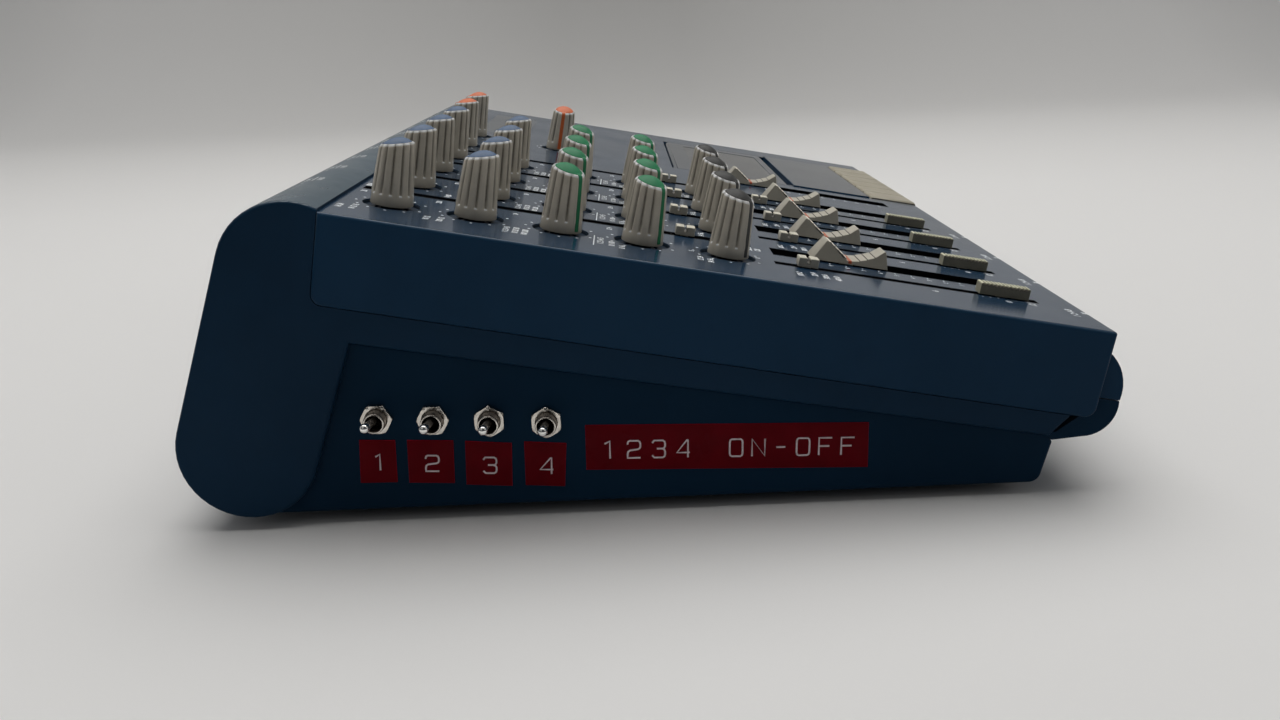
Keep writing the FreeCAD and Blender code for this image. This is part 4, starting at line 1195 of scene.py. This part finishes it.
def addSockets():
    look = socketLook
    pocket = look["pocket"]
    metal = bmesh.new()
    dark = bmesh.new()
    # z runs into the case here, so pieces are built outward and then turned over
    over = Matrix.Rotation(math.pi, 4, "Y")
    nut = hexNut(look["jackNutFlats"], 2.0, look["jackBush"] + 0.01)
    bush = stacked([(-pocket - 0.5, look["jackBush"], 0), (-0.75, look["jackBush"], 0),
                    (-0.6, look["jackBush"] - 0.15, 0),
                    (-0.6, look["jackBore"] + 0.2, 0), (-0.8, look["jackBore"], 0),
                    (-14.6, look["jackBore"], 0),
                    (-14.6, look["jackBore"] + 0.5, 0), (-pocket - 0.5, look["jackBush"] - 0.4, 0)], 64)
    for side in look["jackSides"]:
        joined(metal, nut, Matrix.Translation((side, 0, pocket)) @ over)
        joined(dark, bush, Matrix.Translation((side, 0, 0)) @ over)
        blockOf(dark, (side - 7.5, side + 7.5), (-7.5, 7.5), (look["inner"], 26.0))
    sleeve = stacked([(-pocket - 0.4, 4.45, 0), (-pocket, 4.45, 0), (-pocket, look["phonoRadius"], 0),
                      (-pocket + 7.6, look["phonoRadius"], 0),
                      (-pocket + 8.0, look["phonoRadius"] - 0.25, 0),
                      (-pocket + 8.0, 3.55, 0), (-pocket + 7.7, 3.4, 0), (-pocket + 0.5, 3.4, 0)], 48)
    insert = stacked([(-pocket + 0.4, 3.38, 0), (-pocket + 7.0, 3.38, 0), (-pocket + 7.0, 1.75, 0),
                      (-pocket + 0.6, 1.65, 0)], 40)
    inserts = {0: bmesh.new(), 1: bmesh.new()}
    for side in look["phonoSides"]:
        for index, row in enumerate(look["phonoRows"]):
            at = Matrix.Translation((side, row, 0)) @ over
            joined(metal, sleeve, at)
            joined(inserts[index], insert, at)
            blockOf(dark, (side - 5.5, side + 5.5), (-row - 5.5, -row + 5.5), (look["inner"], 26.0))
    ring = stacked([(-9.6, 2.75, 0), (-0.75, 2.75, 0), (-0.6, 2.95, 0), (-0.6, 4.3, 0), (-0.8, 4.5, 0),
                    (-5.6, 4.5, 0)], 48)
    joined(dark, ring, Matrix.Translation((look["inletSide"], 0, 0)) @ over)
    blockOf(dark, (look["inletSide"] - 5.5, look["inletSide"] + 5.5), (-6.5, 6.5), (look["inner"], 26.0))
    finishPiece(metal, "socketMetal", rearPlace, ["nickel"], "case", 32)
    finishPiece(dark, "socketBodies", rearPlace, ["blackPlastic"], "case", 32)
    finishPiece(inserts[0], "phonoInsertsLower", rearPlace, ["phonoRed"], "case", 32)
    finishPiece(inserts[1], "phonoInsertsUpper", rearPlace, ["phonoWhite"], "case", 32)
    for made in (nut, bush, sleeve, insert, ring):
        made.free()


addToggles()
addSockets()
print("toggles and sockets fitted")


# Embossed tapes on the left wall
tapeLook = {
    "thick": 0.26,
    "strokeRadius": 0.28,
    "haloRadius": 0.46,
    "tapes": {
        "One": [(3.5, 21.5), (13.4, 21.0), (12.9, 8.5), (2.6, 8.7)],
        "Two": [(16.7, 20.9), (29.5, 20.2), (28.9, 7.5), (16.2, 8.2)],
        "Three": [(32.8, 19.9), (45.7, 18.7), (45.0, 5.9), (32.2, 6.9)],
        "Four": [(49.2, 19.0), (60.9, 18.0), (59.8, 5.1), (48.8, 6.0)],
        "Long": [(66.4, 23.1), (145.4, 20.4), (145.3, 7.1), (66.1, 9.8)],
    },
    # mark, ahead and height of its lower left corner, width, height
    "marks": [("1", 6.9, 12.5, 3.0, 4.7), ("2", 21.2, 11.5, 3.7, 4.7), ("3", 37.2, 10.2, 3.7, 4.7),
              ("4", 53.1, 9.3, 3.7, 4.7)],
    "longWords": [("1234", 70.9, 6.9), ("ON-OFF", 106.4, 6.25)],
    "longSlope": -1.6,
    "longBase": (70.4, 13.1),
    "longSize": (3.6, 5.1),
}
strokes = {
    "1": [[(0.15, 0.84), (0.55, 1.0), (0.55, 0.0)]],
    "2": [[(0.0, 0.8), (0.06, 0.95), (0.18, 1.0), (0.82, 1.0), (0.95, 0.94), (1.0, 0.82), (1.0, 0.66),
           (0.94, 0.55), (0.8, 0.5), (0.2, 0.44), (0.05, 0.36), (0.0, 0.22), (0.0, 0.0), (1.0, 0.0)]],
    "3": [[(0.02, 0.86), (0.16, 1.0), (0.82, 1.0), (0.96, 0.93), (1.0, 0.8), (1.0, 0.66), (0.92, 0.55),
           (0.78, 0.52), (0.36, 0.52)],
          [(0.78, 0.52), (0.93, 0.47), (1.0, 0.36), (1.0, 0.18), (0.95, 0.06), (0.82, 0.0), (0.16, 0.0),
           (0.0, 0.14)]],
    "4": [[(1.0, 0.27), (0.0, 0.27), (0.78, 1.0), (0.86, 1.0), (0.86, 0.0)]],
    "O": [[(0.16, 0.0), (0.84, 0.0), (0.96, 0.06), (1.0, 0.18), (1.0, 0.82), (0.96, 0.94), (0.84, 1.0),
           (0.16, 1.0), (0.04, 0.94), (0.0, 0.82), (0.0, 0.18), (0.04, 0.06), (0.16, 0.0)]],
    "N": [[(0.0, 0.0), (0.0, 1.0), (1.0, 0.0), (1.0, 1.0)]],
    "F": [[(0.0, 0.0), (0.0, 1.0), (1.0, 1.0)], [(0.0, 0.52), (0.8, 0.52)]],
    "-": [[(0.15, 0.5), (0.85, 0.5)]],
}


def strokeMesh(mark, corner, width, height, slope, radius, lift):
    curve = bpy.data.curves.new("stroke", "CURVE")
    curve.dimensions = "3D"
    curve.bevel_depth = radius
    curve.bevel_resolution = 2
    curve.use_fill_caps = True
    turn = Matrix.Rotation(math.radians(slope), 3, "Z")
    for line in strokes[mark]:
        spline = curve.splines.new("POLY")
        spline.points.add(len(line) - 1)
        for point, (x, y) in zip(spline.points, line):
            at = turn @ Vector((x * width, y * height, 0)) + Vector((*corner, lift))
            point.co = (*at, 1)
    holder = bpy.data.objects.new("stroke", curve)
    bpy.context.scene.collection.objects.link(holder)
    mesh = bpy.data.meshes.new_from_object(holder.evaluated_get(bpy.context.evaluated_depsgraph_get()))
    bpy.data.objects.remove(holder)
    bpy.data.curves.remove(curve)
    return mesh


def tapeMarks():
    look = tapeLook
    marks = [(mark, (ahead, height), width, tall, -3.0)
             for mark, ahead, height, width, tall in look["marks"]]
    slope = math.tan(math.radians(look["longSlope"]))
    for words, start, pitch in look["longWords"]:
        for index, mark in enumerate(words):
            ahead = start + index * pitch
            height = look["longBase"][1] + (ahead - look["longBase"][0]) * slope
            marks.append((mark, (ahead, height), *look["longSize"], look["longSlope"]))
    return marks


def addTapes():
    look = tapeLook
    thick = look["thick"]
    for name, corners in look["tapes"].items():
        bm = bmesh.new()
        face = bm.faces.new([bm.verts.new((x, y, 0.01)) for x, y in corners])
        grown = bmesh.ops.extrude_face_region(bm, geom=[face])["geom"]
        bmesh.ops.translate(bm, verts=newVerts(grown), vec=(0, 0, thick))
        roundEdges(bm, [e for e in bm.edges if min(v.co.z for v in e.verts) > thick / 2], 0.12, 2)
        paintWearAndLight(bm, lambda co: 0.9 if co.z < thick + 0.005 else 0.0)
        if name == "Long":
            halos = [m for m in tapeMarks() if m[1][0] > 66]
        else:
            left, right = corners[0][0], corners[1][0]
            halos = [m for m in tapeMarks() if left < m[1][0] < right]
        for mark, corner, width, tall, slope in halos:
            mesh = strokeMesh(mark, corner, width, tall, slope, look["haloRadius"],
                              thick - look["haloRadius"] + 0.13)
            bm.from_mesh(mesh)
            bpy.data.meshes.remove(mesh)
        finishPiece(bm, "tape" + name, wallPlace, ["tapeRed"], "case", 40)
    bm = bmesh.new()
    for mark, corner, width, tall, slope in tapeMarks():
        mesh = strokeMesh(mark, corner, width, tall, slope, look["strokeRadius"], thick + 0.1)
        bm.from_mesh(mesh)
        bpy.data.meshes.remove(mesh)
    finishPiece(bm, "tapeMarks", wallPlace, ["tapeStress"], "case", 60)


addTapes()
print("tapes embossed")


# Printed dots, ticks and numbers, and painted shade along the slot rims
printLook = {
    "rise": 0.025,
    "bold": 0.028,
    "dotRadius": 0.42,
    "dotRing": 10.0,
    "dotStep": 30.0,
    # per channel: numerals, side of their middle, way along, size
    "rows": [("16 24", 14.7, 2.6, 2.4), ("8 12 16", 16.4, 6.2, 2.4), ("20", 42.6, 3.4, 2.4),
             ("30", 54.0, 2.6, 2.2),
             ("10 12", 15.2, 26.2, 2.3), ("100 12", 15.7, 29.9, 2.4), ("250", 42.4, 25.6, 2.3),
             ("50", 56.0, 26.6, 2.2),
             ("1 2 3 4 5", 16.0, 48.0, 2.3), ("10 20 30", 16.4, 50.6, 2.4), ("100 200", 15.6, 53.2, 2.4),
             ("24", 42.0, 48.4, 2.2),
             ("1 2 3 4 5", 20.0, 74.2, 2.5), ("10 100", 17.8, 77.4, 2.4), ("8 16", 15.4, 80.3, 2.4),
             ("12 4", 41.2, 76.5, 2.3),
             ("12 24", 16.6, 102.4, 2.4), ("34 56", 15.4, 105.2, 2.4), ("5", 25.6, 100.4, 2.0),
             ("60", 42.0, 118.8, 2.6), ("120", 42.6, 121.6, 2.6), ("0", 30.0, 120.2, 2.0),
             ("100 2", 15.4, 130.6, 2.5), ("20 4", 18.0, 135.0, 2.5), ("300 6", 17.0, 138.2, 2.5),
             ("400 8", 16.6, 141.6, 2.5),
             ("6", 20.4, 170.8, 2.6), ("10", 20.8, 192.6, 2.4), ("12", 21.6, 200.0, 2.8),
             ("1 2 4 8", 18.6, 210.6, 3.0), ("30", 20.4, 214.8, 2.4)],
    # per channel: side from and to, way along
    "bars": [(12.6, 27.0, 72.3), (40.4, 46.0, 119.6)],
    "barThick": 0.32,
    "scaleSide": 35.4,
    "scaleFrom": 138.0,
    "scaleStep": 5.0,
    "scaleSize": 2.0,
    "scaleTick": 1.4,
    "scaleGap": 2.6,
    "masterScale": 9.6,
    "trimDots": [(23.2, 185.5), (23.7, 187.9), (24.2, 190.4)],
}
lettering = {}


def wordMesh(words):
    if words not in lettering:
        curve = bpy.data.curves.new("lettering", "FONT")
        curve.body = words
        curve.size = 1.0
        curve.align_x = "CENTER"
        curve.align_y = "CENTER"
        curve.resolution_u = 3
        curve.offset = printLook["bold"]
        holder = bpy.data.objects.new("lettering", curve)
        bpy.context.scene.collection.objects.link(holder)
        lettering[words] = bpy.data.meshes.new_from_object(
            holder.evaluated_get(bpy.context.evaluated_depsgraph_get()))
        bpy.data.objects.remove(holder)
        bpy.data.curves.remove(curve)
    return lettering[words].copy()


def printWords(bm, words, size, x, y):
    mesh = wordMesh(words)
    mesh.transform(Matrix.Translation((x, y, 0)) @ Matrix.Scale(size, 4))
    bm.from_mesh(mesh)
    bpy.data.meshes.remove(mesh)


def printTick(bm, x, y, long, thick):
    place = Matrix.Translation((x, y, 0)) @ Matrix.Diagonal((long, thick, 1, 1))
    bmesh.ops.create_grid(bm, x_segments=1, y_segments=1, size=0.5, matrix=place)


def addSlotRimShade():
    # painted shade: a thin black band along the long rims of the slots and grooves makes them look wider and
    # darker
    bm = bmesh.new()
    slots = []
    for index, (side, _) in enumerate(faderPlaces):
        shift = slotLook["masterShift"] if index == 4 else 0.0
        width, rear, front = slotLook["fader"]
        slots.append((side, width, rear + shift, front + shift, slotLook["wideRim"]))
    for channel in range(4):
        shift = channel * knobLook["pitch"]
        slots.append((sliderLook["side"] + shift, *slotLook["trim"], slotLook["wideRim"]))
        slots.append((switchLook["assignSide"] + shift, *slotLook["groove"][:3], slotLook["rim"]))
    for side, width, rear, front, rim in slots:
        for turn in (-1, 1):
            printTick(bm, side + turn * (width + rim) / 2, -(rear + front) / 2, rim, front - rear)
    bmesh.ops.translate(bm, verts=bm.verts, vec=(0, 0, printLook["rise"] * 0.8))
    finishPiece(bm, "slotRimShade", deckPlace, ["feltAndShadeBlack"], "case", 30)


def printDot(bm, x, y, radius):
    bmesh.ops.create_circle(bm, cap_ends=True, radius=radius, segments=12,
                            matrix=Matrix.Translation((x, y, 0)))


def addDeckPrint():
    look = printLook
    bm = bmesh.new()
    for _, side, along, _, _ in knobPlaces():
        for index in range(11):
            angle = math.radians((index - 5) * look["dotStep"])
            reach = look["dotRing"]
            printDot(bm, side + reach * math.sin(angle), -along + reach * math.cos(angle), look["dotRadius"])
    for channel in range(4):
        shift = channel * knobLook["pitch"]
        for words, side, along, size in look["rows"]:
            printWords(bm, words, size, side + shift, -along)
        for left, right, along in look["bars"]:
            printTick(bm, (left + right) / 2 + shift, -along, right - left, look["barThick"])
        for step in range(11):
            along = look["scaleFrom"] + step * look["scaleStep"]
            printWords(bm, str(10 - step), look["scaleSize"], look["scaleSide"] + shift, -along)
            printTick(bm, look["scaleSide"] + look["scaleGap"] + shift, -along, look["scaleTick"],
                      look["barThick"])
        for side, along in look["trimDots"]:
            printDot(bm, side + shift, -along, look["dotRadius"] * 0.7)
    side = faderPlaces[4][0] - look["masterScale"]
    for step in range(11):
        along = look["scaleFrom"] + slotLook["masterShift"] + step * look["scaleStep"]
        printWords(bm, str(10 - step), look["scaleSize"], side, -along)
        printTick(bm, side + look["scaleGap"], -along, look["scaleTick"], look["barThick"])
    bmesh.ops.translate(bm, verts=bm.verts, vec=(0, 0, look["rise"]))
    finishPiece(bm, "deckPrint", deckPlace, ["inkWhite"], "case", 30)


def addRollPrint():
    # numbers along the crest of the roll, bent to its curve
    bm = bmesh.new()
    for index, side in enumerate(socketLook["jackSides"]):
        printWords(bm, "1 2 4 " + str(index + 1), 2.6, side, 3.6)
        printTick(bm, side, 1.6, 8.0, 0.3)
        printWords(bm, "10 20", 2.2, side - 1.0, -0.4)
        printDot(bm, side - 7.2, 3.6, 0.45)
    for index, side in enumerate(socketLook["phonoSides"]):
        printWords(bm, str(index + 1), 3.0, side, 3.6)
    bmesh.ops.triangulate(bm, faces=bm.faces)
    radius = caseSpots["rollRadius"] + printLook["rise"]
    for vert in bm.verts:
        side, way = vert.co.x, vert.co.y
        angle = way / caseSpots["rollRadius"]
        ahead = caseSpots["rollTop"][0] - radius * math.sin(angle)
        height = caseSpots["rollTop"][1] + radius * math.cos(angle)
        vert.co = spot(side, ahead, height)
    finishPiece(bm, "rollPrint", Matrix.Scale(mm, 4), ["inkWhite"], "case", 60)


addSlotRimShade()
addDeckPrint()
addRollPrint()
print("numbers and ticks printed")


# Display window
displayLook = {
    "sides": (252.0, 342.0),
    "alongs": (12.0, 34.0),
    "drop": 0.8,
    "edgeGap": 0.03,
    "rows": 4,
    "rowFrom": 5,
    "rowPitch": 4,
    "bars": 14,
    "barFrom": 8,
    "barPitch": 3.0,
    "barWidth": 2.2,
    "barHalf": 0.7,
}


def addDisplay():
    look = displayLook
    left, right = look["sides"]
    rear, front = look["alongs"]
    gap = look["edgeGap"]
    drop = look["drop"]
    bm = bmesh.new()
    blockOf(bm, (left + gap, right - gap), (rear + gap, front - gap), (-drop + 0.15, 0.0))
    roundEdges(bm, [e for e in bm.edges if min(v.co.z for v in e.verts) > -0.05], 0.05, 1)
    finishPiece(bm, "displayPane", deckPlace, ["displaySmoke"], "case", 30)
    bm = bmesh.new()
    for row in range(look["rows"]):
        for bar in range(look["bars"]):
            x = left + look["barFrom"] + bar * look["barPitch"]
            along = rear + look["rowFrom"] + row * look["rowPitch"]
            blockOf(bm, (x, x + look["barWidth"]), (along - look["barHalf"], along + look["barHalf"]),
                    (-drop + 0.02, -drop + 0.1))
    finishPiece(bm, "displayBars", deckPlace, ["boardGreen"], "case", 30)


addDisplay()
print("display set in")

print("pieces ready")
